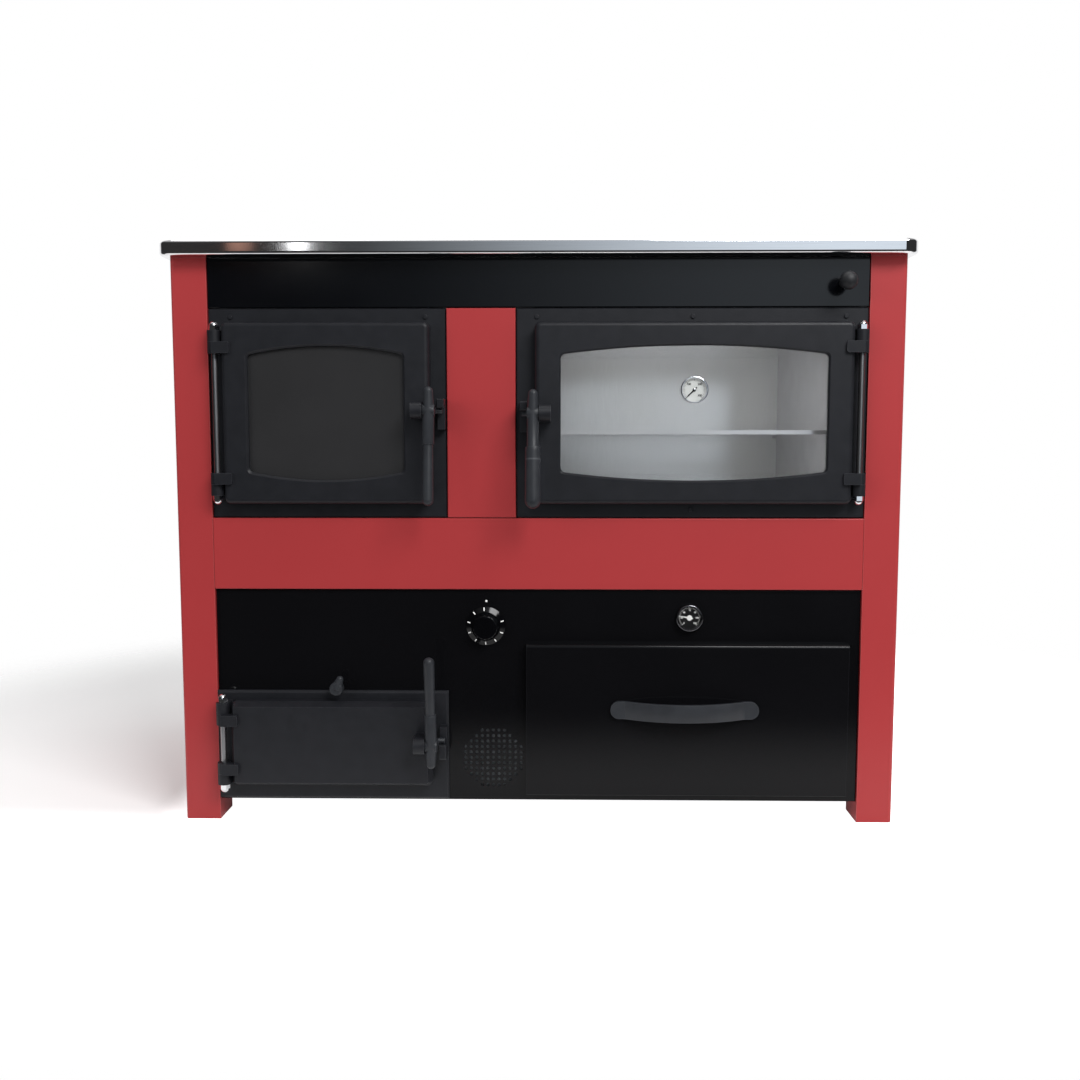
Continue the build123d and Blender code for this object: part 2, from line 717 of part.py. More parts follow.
def hinge_rods():
    """Three steel rods, each through two knuckles and two lugs."""
    rods = []
    for door in DOORS:
        x, y = hinge_axis(door)
        low, high = knuckle_bottoms(door)
        end = CAP_NUT_HEX - SEAM
        rods.append(bar_z(x, y, low - end, high + LUG_HEIGHT + end, HINGE_ROD_RADIUS))
    return rods


def cap_nut(x, y, seat, up):
    """A domed nut on a rod's end, seated at one height and pointing up (+1) or down (-1)."""
    outer = CAP_NUT_FLATS / 2 / cos(radians(30))
    middle = Pos(x, DEPTH_ORIGIN + y, seat + up * CAP_NUT_HEX / 2)
    hexagon = middle * extrude(RegularPolygon(outer, 6), amount=CAP_NUT_HEX / 2, both=True)
    crown = Pos(x, DEPTH_ORIGIN + y, seat + up * CAP_NUT_HEX) * Sphere(CAP_NUT_DOME)
    bore = bar_z(x, y, seat, seat + up * CAP_NUT_HEX, HINGE_ROD_RADIUS + FIXED_CLEARANCE)
    under = block(
        x - outer, x + outer, y - outer, y + outer, seat, seat - up * CAP_NUT_DOME
    )
    return hexagon + crown - bore - under


def hinge_cap_nuts():
    """A domed nut at each end of each hinge rod."""
    nuts = []
    for door in DOORS:
        x, y = hinge_axis(door)
        low, high = knuckle_bottoms(door)
        nuts.append(cap_nut(x, y, low, -1))
        nuts.append(cap_nut(x, y, high + LUG_HEIGHT, 1))
    return nuts


def grip(radii):
    """The grip below the lever's neck, about the pivot; a sleeve carries a groove."""
    start, end = radii
    length = GRIP_LENGTH - GRIP_START - end
    body = Pos(0, 0, -GRIP_START - length / 2) * Cone(end, start, length)
    tip = Pos(0, 0, -GRIP_START - length) * Sphere(end)
    if start > BLADE_RADIUS:
        width, deep = GROOVE
        ring = Cylinder(start, width) - Cylinder(start - deep, width)
        body = body - Pos(0, 0, -GRIP_START - GROOVE_START) * ring
    return body + tip


def lever(door):
    """A latch handle, made about its pivot for a left-hung door and mirrored where needed."""
    hub = Rot(0, 90, 0) * Cylinder(BLADE_RADIUS, 2 * BLADE_RADIUS)
    spur_height = SPUR_LENGTH - BLADE_TIP_RADIUS
    spur = Pos(0, 0, spur_height / 2) * Cone(BLADE_RADIUS, BLADE_TIP_RADIUS, spur_height)
    spur_tip = Pos(0, 0, spur_height) * Sphere(BLADE_TIP_RADIUS)
    neck = Pos(0, 0, -GRIP_START / 2) * Cylinder(BLADE_RADIUS, GRIP_START)
    arm_start = BLADE_RADIUS - NOSE_ARM_WIDTH
    arm = Pos(arm_start + NOSE_ARM_WIDTH / 2, NOSE_ARM / 2, 0) * Box(NOSE_ARM_WIDTH, NOSE_ARM, 2 * NOSE_RADIUS)
    nose_length = BLADE_RADIUS + NOSE_REACH - arm_start
    nose = Pos(arm_start + nose_length / 2, NOSE_ARM, 0) * Rot(0, 90, 0) * Cylinder(NOSE_RADIUS, nose_length)
    trunnion_length = BOSS_LENGTH + ROD_HOLE_CLEARANCE
    trunnion = (
        Pos(-BLADE_RADIUS - trunnion_length / 2, 0, 0)
        * Rot(0, 90, 0)
        * Cylinder(TRUNNION_RADIUS, trunnion_length)
    )
    lower = Rot(-GRIP_LEAN, 0, 0) * (neck + grip(door.grip))
    whole = hub + spur + spur_tip + lower + arm + nose + trunnion
    if door.lift < 0:
        whole = mirror(whole, Plane.XY)
    if door.hinge_side > 0:
        whole = mirror(whole, Plane.YZ)
    x, y, z = pivot(door)
    return Pos(x, DEPTH_ORIGIN + y, z) * whole


# ---- carcass ----
def column(x0, x1, y0, y1, outer_x):
    """A folded box post on a foot plate, with a soft outer front edge."""
    post = block(x0, x1, y0, y1, 0.0, COLUMN_HEIGHT)
    uprights = post.edges().filter_by(Axis.Z)
    outer_edges = [edge for edge in uprights if abs(edge.center().X - outer_x) < COLUMN_WALL]
    post = fillet(outer_edges, COLUMN_EDGE_RADIUS)
    hollow = block(
        x0 + COLUMN_WALL, x1 - COLUMN_WALL, y0 + COLUMN_WALL, y1 - COLUMN_WALL, FOOT_PLATE, COLUMN_HEIGHT
    )
    corner_fill = COLUMN_EDGE_RADIUS - COLUMN_WALL
    hollow_uprights = hollow.edges().filter_by(Axis.Z)
    near_outer = [edge for edge in hollow_uprights if abs(edge.center().X - outer_x) < 2 * COLUMN_WALL]
    return post - fillet(near_outer, corner_fill)


def columns():
    """Four posts, named by their corner."""
    half = BODY_WIDTH / 2
    posts = {}
    for name, y0 in (("front", 0.0), ("rear", BODY_DEPTH - COLUMN_DEPTH)):
        posts[f"column_{name}_left"] = column(-half, -INNER_X, y0, y0 + COLUMN_DEPTH, -half)
        posts[f"column_{name}_right"] = column(INNER_X, half, y0, y0 + COLUMN_DEPTH, half)
    return posts


def side_panel(side):
    """A sheet tray between the front and the rear column."""
    outer_x = BODY_WIDTH / 2 - SIDE_PANEL_INSET
    x0 = side * (outer_x - SIDE_PANEL_FLANGE)
    x1 = side * outer_x
    y0 = COLUMN_DEPTH
    y1 = BODY_DEPTH - COLUMN_DEPTH
    panel = block(x0, x1, y0, y1, BASE_TOP, COLUMN_HEIGHT)
    inner = block(
        x0,
        side * (outer_x - SHEET),
        y0 + SHEET,
        y1 - SHEET,
        BASE_TOP + SHEET,
        COLUMN_HEIGHT - SHEET,
    )
    return panel - inner


def base_plate():
    """The floor sheet between the columns, with the two bars that carry the drawer."""
    back = BACK_PANEL_FACE - SHEET
    plate = block(-INNER_X, INNER_X, BULKHEAD_BACK, back, FLOOR_CLEARANCE, BASE_TOP)
    x0, x1, z0, _ = drawer_box_span()
    y1 = DRAWER_BOX_BACK
    for left in (x0, x1 - RUNNER_WIDTH):
        plate = plate + block(left, left + RUNNER_WIDTH, BULKHEAD_BACK, y1, BASE_TOP, z0)
    return plate


def back_panel():
    """The rear sheet with its folded sides, the flue hole and two pipe holes."""
    face = BACK_PANEL_FACE
    panel = block(-INNER_X, INNER_X, face - SIDE_PANEL_FLANGE, face, FLOOR_CLEARANCE, COLUMN_HEIGHT)
    inner = block(
        -INNER_X + SHEET,
        INNER_X - SHEET,
        face - SIDE_PANEL_FLANGE,
        face - SHEET,
        FLOOR_CLEARANCE,
        COLUMN_HEIGHT - SHEET,
    )
    floor_notch = block(-INNER_X, INNER_X, face - SIDE_PANEL_FLANGE, face - SHEET, FLOOR_CLEARANCE, BASE_TOP)
    panel = panel - inner - floor_notch
    panel = panel - bar_y(FLUE_X, face - SHEET, face, FLUE_Z, FLUE_RADIUS + FLUE_HOLE_CLEARANCE)
    for height in (SUPPLY_HEIGHT, RETURN_HEIGHT):
        panel = panel - bar_y(STUB_X, face - SHEET, face, height, STUB_RADIUS + FLUE_HOLE_CLEARANCE)
    return panel


def front_bulkhead():
    """The steel plate behind the front panels, with every opening that they need."""
    y0 = BULKHEAD_FACE
    y1 = BULKHEAD_BACK
    plate = block(-INNER_X, INNER_X, y0, y1, FLOOR_CLEARANCE, COLUMN_HEIGHT)
    plate = plate - throat(FIRE, y0, y1) - throat(ASH, y0, y1) - oven_mouth(y0, y1)
    plate = plate - drawer_mouth(y0, y1)
    plate = plate - bar_y(GRILLE_X, y0, y1, GRILLE_Z, GRILLE_RADIUS - FLAP_LAP)
    plate = plate - bar_y(GAUGE_X, y0, y1, GAUGE_Z, GAUGE_CAN_RADIUS + SCREW_CLEARANCE)
    plate = plate - bar_y(DIAL_X, y0, y1, DIAL_Z, DIAL_SPINDLE_RADIUS + ROD_HOLE_CLEARANCE)
    plate = plate - bar_y(RIDDLE_X, y0, y1, RIDDLE_Z, RIDDLE_ROD_RADIUS + ROD_HOLE_CLEARANCE)
    plate = plate - bar_y(DAMPER_X, y0, y1, DAMPER_Z, DAMPER_ROD_RADIUS + ROD_HOLE_CLEARANCE)
    for x, z in screw_places():
        plate = plate - bar_y(x, y0, y1, z, PANEL_SCREW_RADIUS + FIXED_CLEARANCE)
    return plate


# ---- front panels ----
def screw_places():
    """X and height of the screws that hold the two upper frame plates."""
    high = PLATE_TOP - SCREW_INSET
    low = PLATE_BOTTOM + SCREW_INSET
    outer = INNER_X - 2 * SCREW_INSET - DOOR_RIM / 2
    inner = FIRE_PLATE_RIGHT - 2 * SCREW_INSET - DOOR_RIM / 3
    oven_middle = (OVEN.free_x + OVEN.hinge_x) / 2
    return (
        (-outer, high),
        (inner, high),
        (OVEN_PLATE_LEFT + 2 * SCREW_INSET + DOOR_RIM / 3, high),
        (oven_middle, high),
        (outer, high),
        (oven_middle, low),
    )


def plate_screws():
    """Pan-head screws through the frame plates into the bulkhead."""
    head_radius, head_height = PANEL_SCREW_HEAD
    screws = []
    for x, z in screw_places():
        head = bar_y(x, PLATE_FACE - head_height, PLATE_FACE, z, head_radius)
        head = fillet(head.edges().sort_by(Axis.Y)[0], head_height / 2)
        shank = bar_y(x, PLATE_FACE, BULKHEAD_BACK, z, PANEL_SCREW_RADIUS)
        screws.append(head + shank)
    return screws


def frame_plate(x0, x1, door, opening):
    """An upper cast frame plate with its opening, screw holes, catch and knuckles."""
    plate = block(x0, x1, PLATE_FACE, BULKHEAD_FACE, PLATE_BOTTOM, PLATE_TOP)
    plate = chamfer(front_edges(plate), PLATE_EDGE) - opening
    for x, z in screw_places():
        if x0 < x < x1:
            plate = plate - bar_y(x, PLATE_FACE, BULKHEAD_FACE, z, PANEL_SCREW_RADIUS + SCREW_CLEARANCE)
    return plate_fittings(plate, door)


def ash_frame_plate():
    """The cast frame that stands on the lower panel around the ash door."""
    plate = block(-INNER_X, FIRE_PLATE_RIGHT, ASH_FRAME_FACE, LOWER_PANEL_FACE, ASH_FRAME_BOTTOM, ASH_FRAME_TOP)
    plate = chamfer(front_edges(plate), 2 * PLATE_EDGE)
    plate = plate - throat(ASH, ASH_FRAME_FACE, LOWER_PANEL_FACE)
    return plate_fittings(plate, ASH)


def grille_holes(y0, y1):
    """A round field of holes on a square grid."""
    count = int(GRILLE_RADIUS / GRILLE_PITCH)
    spots = []
    for i in range(-count, count + 1):
        for j in range(-count, count + 1):
            if hypot(i, j) * GRILLE_PITCH + GRILLE_HOLE_RADIUS <= GRILLE_RADIUS:
                spots.append((GRILLE_X + i * GRILLE_PITCH, GRILLE_Z + j * GRILLE_PITCH))
    circles = Sketch() + [Pos(x, z) * Circle(GRILLE_HOLE_RADIUS) for x, z in spots]
    return outline_slab(circles, y0, y1)


def lower_panel():
    """The glossy lower sheet with the openings of everything that it carries."""
    face = LOWER_PANEL_FACE
    back = BULKHEAD_FACE
    panel = tray(-INNER_X, INNER_X, FLOOR_CLEARANCE, BAND_BOTTOM - SEAM, face, back)
    panel = panel - throat(ASH, face, back) - drawer_mouth(face, back)
    panel = panel - grille_holes(face, back)
    panel = panel - bar_y(GAUGE_X, face, back, GAUGE_Z, GAUGE_CAN_RADIUS + SCREW_CLEARANCE)
    panel = panel - bar_y(DIAL_X, face, back, DIAL_Z, DIAL_SPINDLE_RADIUS + ROD_HOLE_CLEARANCE)
    return panel - bar_y(RIDDLE_X, face, back, RIDDLE_Z, RIDDLE_ROD_RADIUS + ROD_HOLE_CLEARANCE)


def top_fascia():
    """The black strip below the rail, bored for the damper rod."""
    fascia = tray(-INNER_X, INNER_X, FASCIA_BOTTOM, COLUMN_HEIGHT, FASCIA_FACE, BULKHEAD_FACE)
    hole = DAMPER_ROD_RADIUS + ROD_HOLE_CLEARANCE
    return fascia - bar_y(DAMPER_X, FASCIA_FACE, BULKHEAD_FACE, DAMPER_Z, hole)


# ---- hob ----
def hob_plan(inset, z0, z1, corner):
    """A block inside the rail's outline, inset on all four sides."""
    half = BODY_WIDTH / 2 + RAIL_SIDE_OVERHANG - inset
    shape = block(-half, half, -RAIL_FRONT_OVERHANG + inset, BODY_DEPTH - inset, z0, z1)
    if corner > 0:
        shape = fillet(shape.edges().filter_by(Axis.Z), corner)
    return shape


def hob_frame():
    """A polished folded rail: top, rounded outer skirt and an inward ledge below."""
    rail = hob_plan(0.0, COLUMN_HEIGHT, RAIL_TOP, RAIL_CORNER)
    outer = rail.faces().sort_by(Axis.Z)[-1].edges() + rail.faces().sort_by(Axis.Z)[0].edges()
    rail = fillet(outer, RAIL_EDGE_RADIUS)
    sheet = RAIL_SHEET
    rail = rail - hob_plan(sheet, COLUMN_HEIGHT + sheet, RAIL_TOP - sheet, RAIL_CORNER - sheet)
    rail = rail - hob_plan(RAIL_TOP_WIDTH, COLUMN_HEIGHT + sheet, RAIL_TOP, 0.0)
    return rail - hob_plan(RAIL_TOP_WIDTH + RAIL_LEDGE, COLUMN_HEIGHT, RAIL_TOP, 0.0)


def hob_plate(x0, x1):
    """A cast plate with a downturned rim that stands on the rail's ledge."""
    y0 = -RAIL_FRONT_OVERHANG + RAIL_TOP_WIDTH + HOB_GAP
    y1 = BODY_DEPTH - RAIL_TOP_WIDTH - HOB_GAP
    top = block(x0, x1, y0, y1, HOB_SEAT, HOB_TOP)
    return top - block(
        x0 + HOB_RIM, x1 - HOB_RIM, y0 + HOB_RIM, y1 - HOB_RIM, HOB_SEAT, HOB_UNDERSIDE
    )


def hob_edges():
    """Left and right limits of the two plates."""
    half = BODY_WIDTH / 2 + RAIL_SIDE_OVERHANG - RAIL_TOP_WIDTH - HOB_GAP
    return (-half, HOB_SPLIT_X - HOB_GAP / 2), (HOB_SPLIT_X + HOB_GAP / 2, half)


def hob_plate_left():
    """The plate over the fire, with a stepped round opening."""
    plate = hob_plate(*hob_edges()[0])
    seat = LID_RING_RADIUS + LID_CLEARANCE
    plate = plate - bar_z(LID_X, LID_CENTRE_BACK, HOB_TOP - LID_THICKNESS, HOB_TOP, seat)
    through = LID_RING_RADIUS - LID_SEAT
    return plate - bar_z(LID_X, LID_CENTRE_BACK, HOB_UNDERSIDE, HOB_TOP, through)


def stepped_disc(radius):
    """A lid: a flange at the hob's level and a spigot below it."""
    flange = bar_z(LID_X, LID_CENTRE_BACK, HOB_TOP - LID_THICKNESS, HOB_TOP, radius)
    spigot_radius = radius - LID_SEAT - LID_CLEARANCE
    low = HOB_TOP - LID_THICKNESS - LID_SPIGOT
    return flange + bar_z(LID_X, LID_CENTRE_BACK, low, HOB_TOP - LID_THICKNESS, spigot_radius)


def hob_lid_ring():
    """The outer ring, stepped for the centre lid."""
    ring = stepped_disc(LID_RING_RADIUS)
    seat = LID_CENTRE_RADIUS + LID_CLEARANCE
    ring = ring - bar_z(LID_X, LID_CENTRE_BACK, HOB_TOP - LID_THICKNESS, HOB_TOP, seat)
    through = LID_CENTRE_RADIUS - LID_SEAT
    return ring - bar_z(LID_X, LID_CENTRE_BACK, HOB_UNDERSIDE, HOB_TOP, through)


def hob_lid_centre():
    """The centre lid, with the pocket that the lifter hooks."""
    lid = stepped_disc(LID_CENTRE_RADIUS)
    length, width, deep = LIFTER_SLOT
    edge = LID_CENTRE_BACK - LID_CENTRE_RADIUS + 2 * LID_SEAT
    slot = block(LID_X - width / 2, LID_X + width / 2, edge, edge + length, HOB_TOP - deep, HOB_TOP)
    return lid - slot


# ---- firebox and ash pit ----
def boiler_jacket():
    """The welded water jacket: three water walls, a front plate and two pipe stubs.

    The right wall is lower, and the smoke passes over it to the oven. Two upstands
    on the other walls close the gap below the hob.
    """
    y0 = BULKHEAD_BACK
    y1 = JACKET_BACK
    z0 = GRATE_LEVEL
    z1 = COLUMN_HEIGHT
    plate = JACKET_PLATE
    sill = z1 - SMOKE_PASS
    body = block(JACKET_LEFT_X, JACKET_RIGHT_X, y0, y1, z0, z1)
    for height in (SUPPLY_HEIGHT, RETURN_HEIGHT):
        body = body + bar_y(STUB_X, y1 - plate / 2, STUB_SHOULDER, height, STUB_RADIUS + STUB_COLLAR)
        body = body + bar_y(STUB_X, STUB_SHOULDER, REAR_END, height, STUB_RADIUS)
    water = block(
        JACKET_LEFT_X + plate, JACKET_RIGHT_X - plate, FIREBOX_FRONT + plate, y1 - plate, z0 + plate, z1 - plate
    )
    water = water - block(
        FIREBOX_LEFT - plate, FIREBOX_RIGHT + plate, y0, FIREBOX_BACK + plate, z0, z1
    )
    water = water - block(FIREBOX_RIGHT, JACKET_RIGHT_X, y0, FIREBOX_BACK + plate, sill - plate, z1)
    body = body - water
    body = body - block(FIREBOX_RIGHT, JACKET_RIGHT_X, FIREBOX_FRONT, FIREBOX_BACK, sill, z1)
    strip_top = HOB_UNDERSIDE - SEAM
    strip_front = RAIL_LEDGE_EDGE + SEAM
    strip_back = FIREBOX_BACK + plate
    body = body + block(FIREBOX_LEFT - plate, FIREBOX_LEFT, strip_front, strip_back, z1, strip_top)
    body = body + block(FIREBOX_LEFT - plate, FIREBOX_RIGHT, FIREBOX_BACK, strip_back, z1, strip_top)
    body = body - block(FIREBOX_LEFT, FIREBOX_RIGHT, FIREBOX_FRONT, FIREBOX_BACK, z0, z1)
    for height in (SUPPLY_HEIGHT, RETURN_HEIGHT):
        body = body - bar_y(STUB_X, y1 - 2 * plate, REAR_END, height, STUB_BORE)
    body = body - throat(FIRE, y0, FIREBOX_FRONT)
    notch = RIDDLE_ROD_RADIUS + ROD_HOLE_CLEARANCE
    return body - block(RIDDLE_X - notch, RIDDLE_X + notch, y0, FIREBOX_FRONT, z0, RIDDLE_Z + notch)


def ash_pit():
    """Sheet housing below the jacket, with a floor, a carrying flange and the air box."""
    y0 = BULKHEAD_BACK
    y1 = JACKET_BACK
    floor_top = ash_floor()
    top = GRATE_LEVEL
    sheet = PIT_SHEET
    pit = block(JACKET_LEFT_X, PIT_RIGHT_X, y0, y1, BASE_TOP, top)
    pit = pit - block(JACKET_LEFT_X + sheet, PIT_RIGHT_X - sheet, y0, y1 - sheet, floor_top, top - sheet)
    pit = pit - block(JACKET_LEFT_X + sheet, PIT_RIGHT_X - sheet, y0, y1 - sheet, BASE_TOP, floor_top - sheet)
    pit = pit - block(
        FIREBOX_LEFT + GRATE_LIP,
        FIREBOX_RIGHT - GRATE_LIP,
        FIREBOX_FRONT + GRATE_LIP / 2,
        FIREBOX_BACK - GRATE_LIP,
        top - sheet,
        top,
    )
    bottom, high = air_box_heights()
    box = block(PIT_RIGHT_X, AIR_BOX_RIGHT_X, y0, y0 + AIR_BOX_DEPTH, bottom, high)
    hollow = block(
        PIT_RIGHT_X, AIR_BOX_RIGHT_X - sheet, y0, y0 + AIR_BOX_DEPTH - sheet, bottom + sheet, high - sheet
    )
    port = block(
        PIT_RIGHT_X - sheet,
        PIT_RIGHT_X,
        y0 + 3 * sheet,
        y0 + AIR_BOX_DEPTH - 2 * sheet,
        max(bottom, floor_top) + sheet,
        high - 4 * sheet,
    )
    axis_y, axis_z = flap_axis()
    pin_hole = bar_x(
        PIT_RIGHT_X - sheet, AIR_BOX_RIGHT_X, axis_y, axis_z, FLAP_PIN_RADIUS + PIN_CLEARANCE
    )
    return pit + (box - hollow) - port - pin_hole


def ash_floor():
    """Height of the pit's floor: level with the lower edge of the ash door's opening."""
    return ASH.bottom + THROAT_MARGIN - DOOR_RIM / 2


def air_box_heights():
    """Bottom and top of the air box, centred on the grille."""
    return GRILLE_Z - AIR_BOX_HEIGHT / 2, GRILLE_Z + AIR_BOX_HEIGHT / 2


def flap_axis():
    """Depth and height of the air flap's pin."""
    return BULKHEAD_BACK + FLAP_GAP + FLAP_PIN_RADIUS, GRILLE_Z + GRILLE_RADIUS + FLAP_LAP


def air_flap():
    """The flap that shuts the air inlet, hung from a pin along its top."""
    axis_y, axis_z = flap_axis()
    half = GRILLE_RADIUS + FLAP_LAP
    y0 = BULKHEAD_BACK + FLAP_GAP
    leaf = block(GRILLE_X - half, GRILLE_X + half, y0, y0 + FLAP_THICKNESS, GRILLE_Z - half, axis_z)
    pin_left = PIT_RIGHT_X - PIT_SHEET
    return leaf + bar_x(pin_left, AIR_BOX_RIGHT_X, axis_y, axis_z, FLAP_PIN_RADIUS)


def ash_pan():
    """An open sheet pan with a bail at its front."""
    left, right = door_span(ASH)
    x0 = left + THROAT_MARGIN + PAN_SIDE_CLEARANCE
    x1 = right - THROAT_MARGIN - PAN_SIDE_CLEARANCE
    floor = ash_floor()
    pan = block(x0, x1, PAN_FRONT, PAN_BACK, floor, floor + PAN_HEIGHT)
    wall = PAN_WALL
    pan = pan - block(
        x0 + wall, x1 - wall, PAN_FRONT + wall, PAN_BACK - wall, floor + wall, floor + PAN_HEIGHT
    )
    width, reach, thick = PAN_BAIL
    middle = (x0 + x1) / 2
    height = floor + PAN_HEIGHT / 2
    left_end = middle - width / 2
    right_end = middle + width / 2
    bail = block(left_end, right_end, PAN_FRONT - reach, PAN_FRONT, height - thick, height + thick)
    gap = block(
        left_end + 2 * thick,
        right_end - 2 * thick,
        PAN_FRONT - reach + 2 * thick,
        PAN_FRONT,
        height - thick,
        height + thick,
    )
    return pan + (bail - gap)


def grate_span():
    """Left, right, front and back of the grate at rest."""
    return (
        FIREBOX_LEFT + GRATE_SIDE_CLEARANCE,
        FIREBOX_RIGHT - GRATE_SIDE_CLEARANCE,
        FIREBOX_FRONT + GRATE_FRONT_SETBACK,
        FIREBOX_BACK - GRATE_BACK_CLEARANCE,
    )


def grate():
    """A cast grate with two rows of slots."""
    x0, x1, y0, y1 = grate_span()
    z0 = GRATE_LEVEL
    z1 = z0 + GRATE_THICKNESS
    body = block(x0, x1, y0, y1, z0, z1)
    middle = (y0 + y1) / 2
    count = int((x1 - x0 - 2 * GRATE_BORDER - GRATE_SLOT) / GRATE_PITCH) + 1
    first = (x0 + x1) / 2 - (count - 1) * GRATE_PITCH / 2
    for number in range(count):
        x = first + number * GRATE_PITCH
        for low, high in (
            (y0 + GRATE_BORDER, middle - GRATE_CROSSBAR / 2),
            (middle + GRATE_CROSSBAR / 2, y1 - GRATE_BORDER),
        ):
            body = body - block(x - GRATE_SLOT / 2, x + GRATE_SLOT / 2, low, high, z0, z1)
    return body


def riddling_lever():
    """The rod that shakes the grate, with a hub and a leaning thumb piece in front."""
    front = RIDDLE_HUB_FRONT
    rod = bar_y(RIDDLE_X, front + RIDDLE_HUB_LENGTH, grate_span()[2], RIDDLE_Z, RIDDLE_ROD_RADIUS)
    hub = bar_y(RIDDLE_X, front, front + RIDDLE_HUB_LENGTH, RIDDLE_Z, RIDDLE_HUB_RADIUS)
    hub = fillet(hub.edges().sort_by(Axis.Y)[0], RIDDLE_HUB_RADIUS / 3)
    length, radius, lean = RIDDLE_THUMB
    stem_height = length - radius
    stem = Pos(0, 0, stem_height / 2) * Cone(RIDDLE_HUB_RADIUS - 2, radius, stem_height)
    thumb = stem + Pos(0, 0, stem_height) * Sphere(radius)
    middle = DEPTH_ORIGIN + front + RIDDLE_HUB_LENGTH / 2
    return rod + hub + Pos(RIDDLE_X, middle, RIDDLE_Z) * Rot(0, lean, 0) * thumb


# ---- oven ----
def oven_liner():
    """A polished sheet box, open in front, with a flange and two shelf runners."""
    sheet = OVEN_SHEET
    y0 = BULKHEAD_BACK
    y1 = BULKHEAD_BACK + OVEN_DEPTH
    shell = block(
        OVEN_LEFT - sheet, OVEN_RIGHT + sheet, y0, y1 + sheet, OVEN_FLOOR - sheet, OVEN_CEILING + sheet
    )
    flange = block(
        OVEN_LEFT - OVEN_FLANGE,
        OVEN_RIGHT + OVEN_FLANGE,
        y0,
        y0 + sheet,
        OVEN_FLOOR - OVEN_FLANGE,
        OVEN_CEILING + OVEN_FLANGE,
    )
    liner = shell + flange - oven_mouth(y0, y1)
    width, height = SHELF_RUNNER
    for wall, inward in ((OVEN_LEFT, 1), (OVEN_RIGHT, -1)):
        runner = block(
            wall,
            wall + inward * width,
            y0 + SHELF_FRONT_SETBACK,
            y1 - SHELF_BACK_CLEARANCE,
            SHELF_Z - height,
            SHELF_Z,
        )
        liner = liner + runner
    return liner


def oven_shelf():
    """A polished sheet shelf with a turned-up front and rear lip."""
    x0 = OVEN_LEFT + SHELF_SIDE_CLEARANCE
    x1 = OVEN_RIGHT - SHELF_SIDE_CLEARANCE
    y0 = BULKHEAD_BACK + SHELF_FRONT_SETBACK
    y1 = BULKHEAD_BACK + OVEN_DEPTH - SHELF_BACK_CLEARANCE
    shelf = block(x0, x1, y0, y1, SHELF_Z, SHELF_Z + OVEN_SHEET + SHELF_LIP)
    return shelf - block(
        x0, x1, y0 + OVEN_SHEET, y1 - OVEN_SHEET, SHELF_Z + OVEN_SHEET, SHELF_Z + OVEN_SHEET + SHELF_LIP
    )


def thermometer_place():
    """X and height of the oven thermometer, on the window's middle."""
    return (OVEN.free_x + OVEN.hinge_x) / 2, (OVEN.bottom + OVEN.top) / 2 + THERMOMETER_RAISE


def instrument_case(x, z, front, depth, radius):
    """A round case with a bezel, its dial floor sunk behind the glass."""
    case = bar_y(x, front, front + depth, z, radius)
    case = fillet(case.edges().sort_by(Axis.Y)[0], BEZEL_WALL * 0.8)
    well = bar_y(x, front, front + DIAL_DROP + DIAL_GLASS, z, radius - BEZEL_WALL)
    return case - well


def instrument_glass(x, z, front, radius):
    """The flat glass of a round instrument, set in its bezel."""
    face = front + DIAL_GLASS / 2
    return bar_y(x, face, face + DIAL_GLASS, z, radius - BEZEL_WALL - FIXED_CLEARANCE)


def instrument_needle(x, z, front, radius, angle):
    """A needle with a hub and a short tail, turned clockwise from pointing up."""
    reach = radius - 2 * BEZEL_WALL
    floor = front + DIAL_DROP + DIAL_GLASS
    y1 = floor - NEEDLE_THICKNESS
    y0 = y1 - NEEDLE_THICKNESS
    blade_face = make_face(
        Polyline(
            (-NEEDLE_HUB / 2, 0), (-NEEDLE_HUB / 6, reach), (NEEDLE_HUB / 6, reach), (NEEDLE_HUB / 2, 0),
            (NEEDLE_HUB / 3, -reach / 3), (-NEEDLE_HUB / 3, -reach / 3), close=True,
        )
    )
    blade = outline_slab(Pos(x, z) * Rot(0, 0, -angle) * blade_face, y0, y1)
    hub = bar_y(x, y0, y1, z, NEEDLE_HUB)
    arbor = bar_y(x, y0, floor + BEZEL_WALL, z, ARBOR_RADIUS)
    return blade + hub + arbor


def arbor_hole(x, z, front):
    """The hole in the case that the needle's arbor turns in."""
    floor = front + DIAL_DROP + DIAL_GLASS
    return bar_y(x, floor, floor + BEZEL_WALL, z, ARBOR_RADIUS + PIN_CLEARANCE)


def thermometer_front():
    """Depth of the front of the thermometer's bezel, its back against the pane."""
    return door_front(OVEN) + DOOR_SKIN - THERMOMETER_DEPTH


def oven_thermometer_case():
    """The case on the oven window, with its sensing stem through the pane."""
    x, z = thermometer_place()
    front = thermometer_front()
    case = instrument_case(x, z, front, THERMOMETER_DEPTH, THERMOMETER_RADIUS)
    stem_start = front + THERMOMETER_DEPTH
    case = case + bar_y(x, stem_start, stem_start + STEM_LENGTH, z, STEM_RADIUS)
    return case - arbor_hole(x, z, front)


def oven_door_glass():
    """The oven pane, bored for the thermometer's stem."""
    x, z = thermometer_place()
    face = door_front(OVEN) + DOOR_SKIN
    return door_glass(OVEN) - bar_y(x, face, face + GLASS_THICKNESS, z, STEM_RADIUS + SCREW_CLEARANCE)


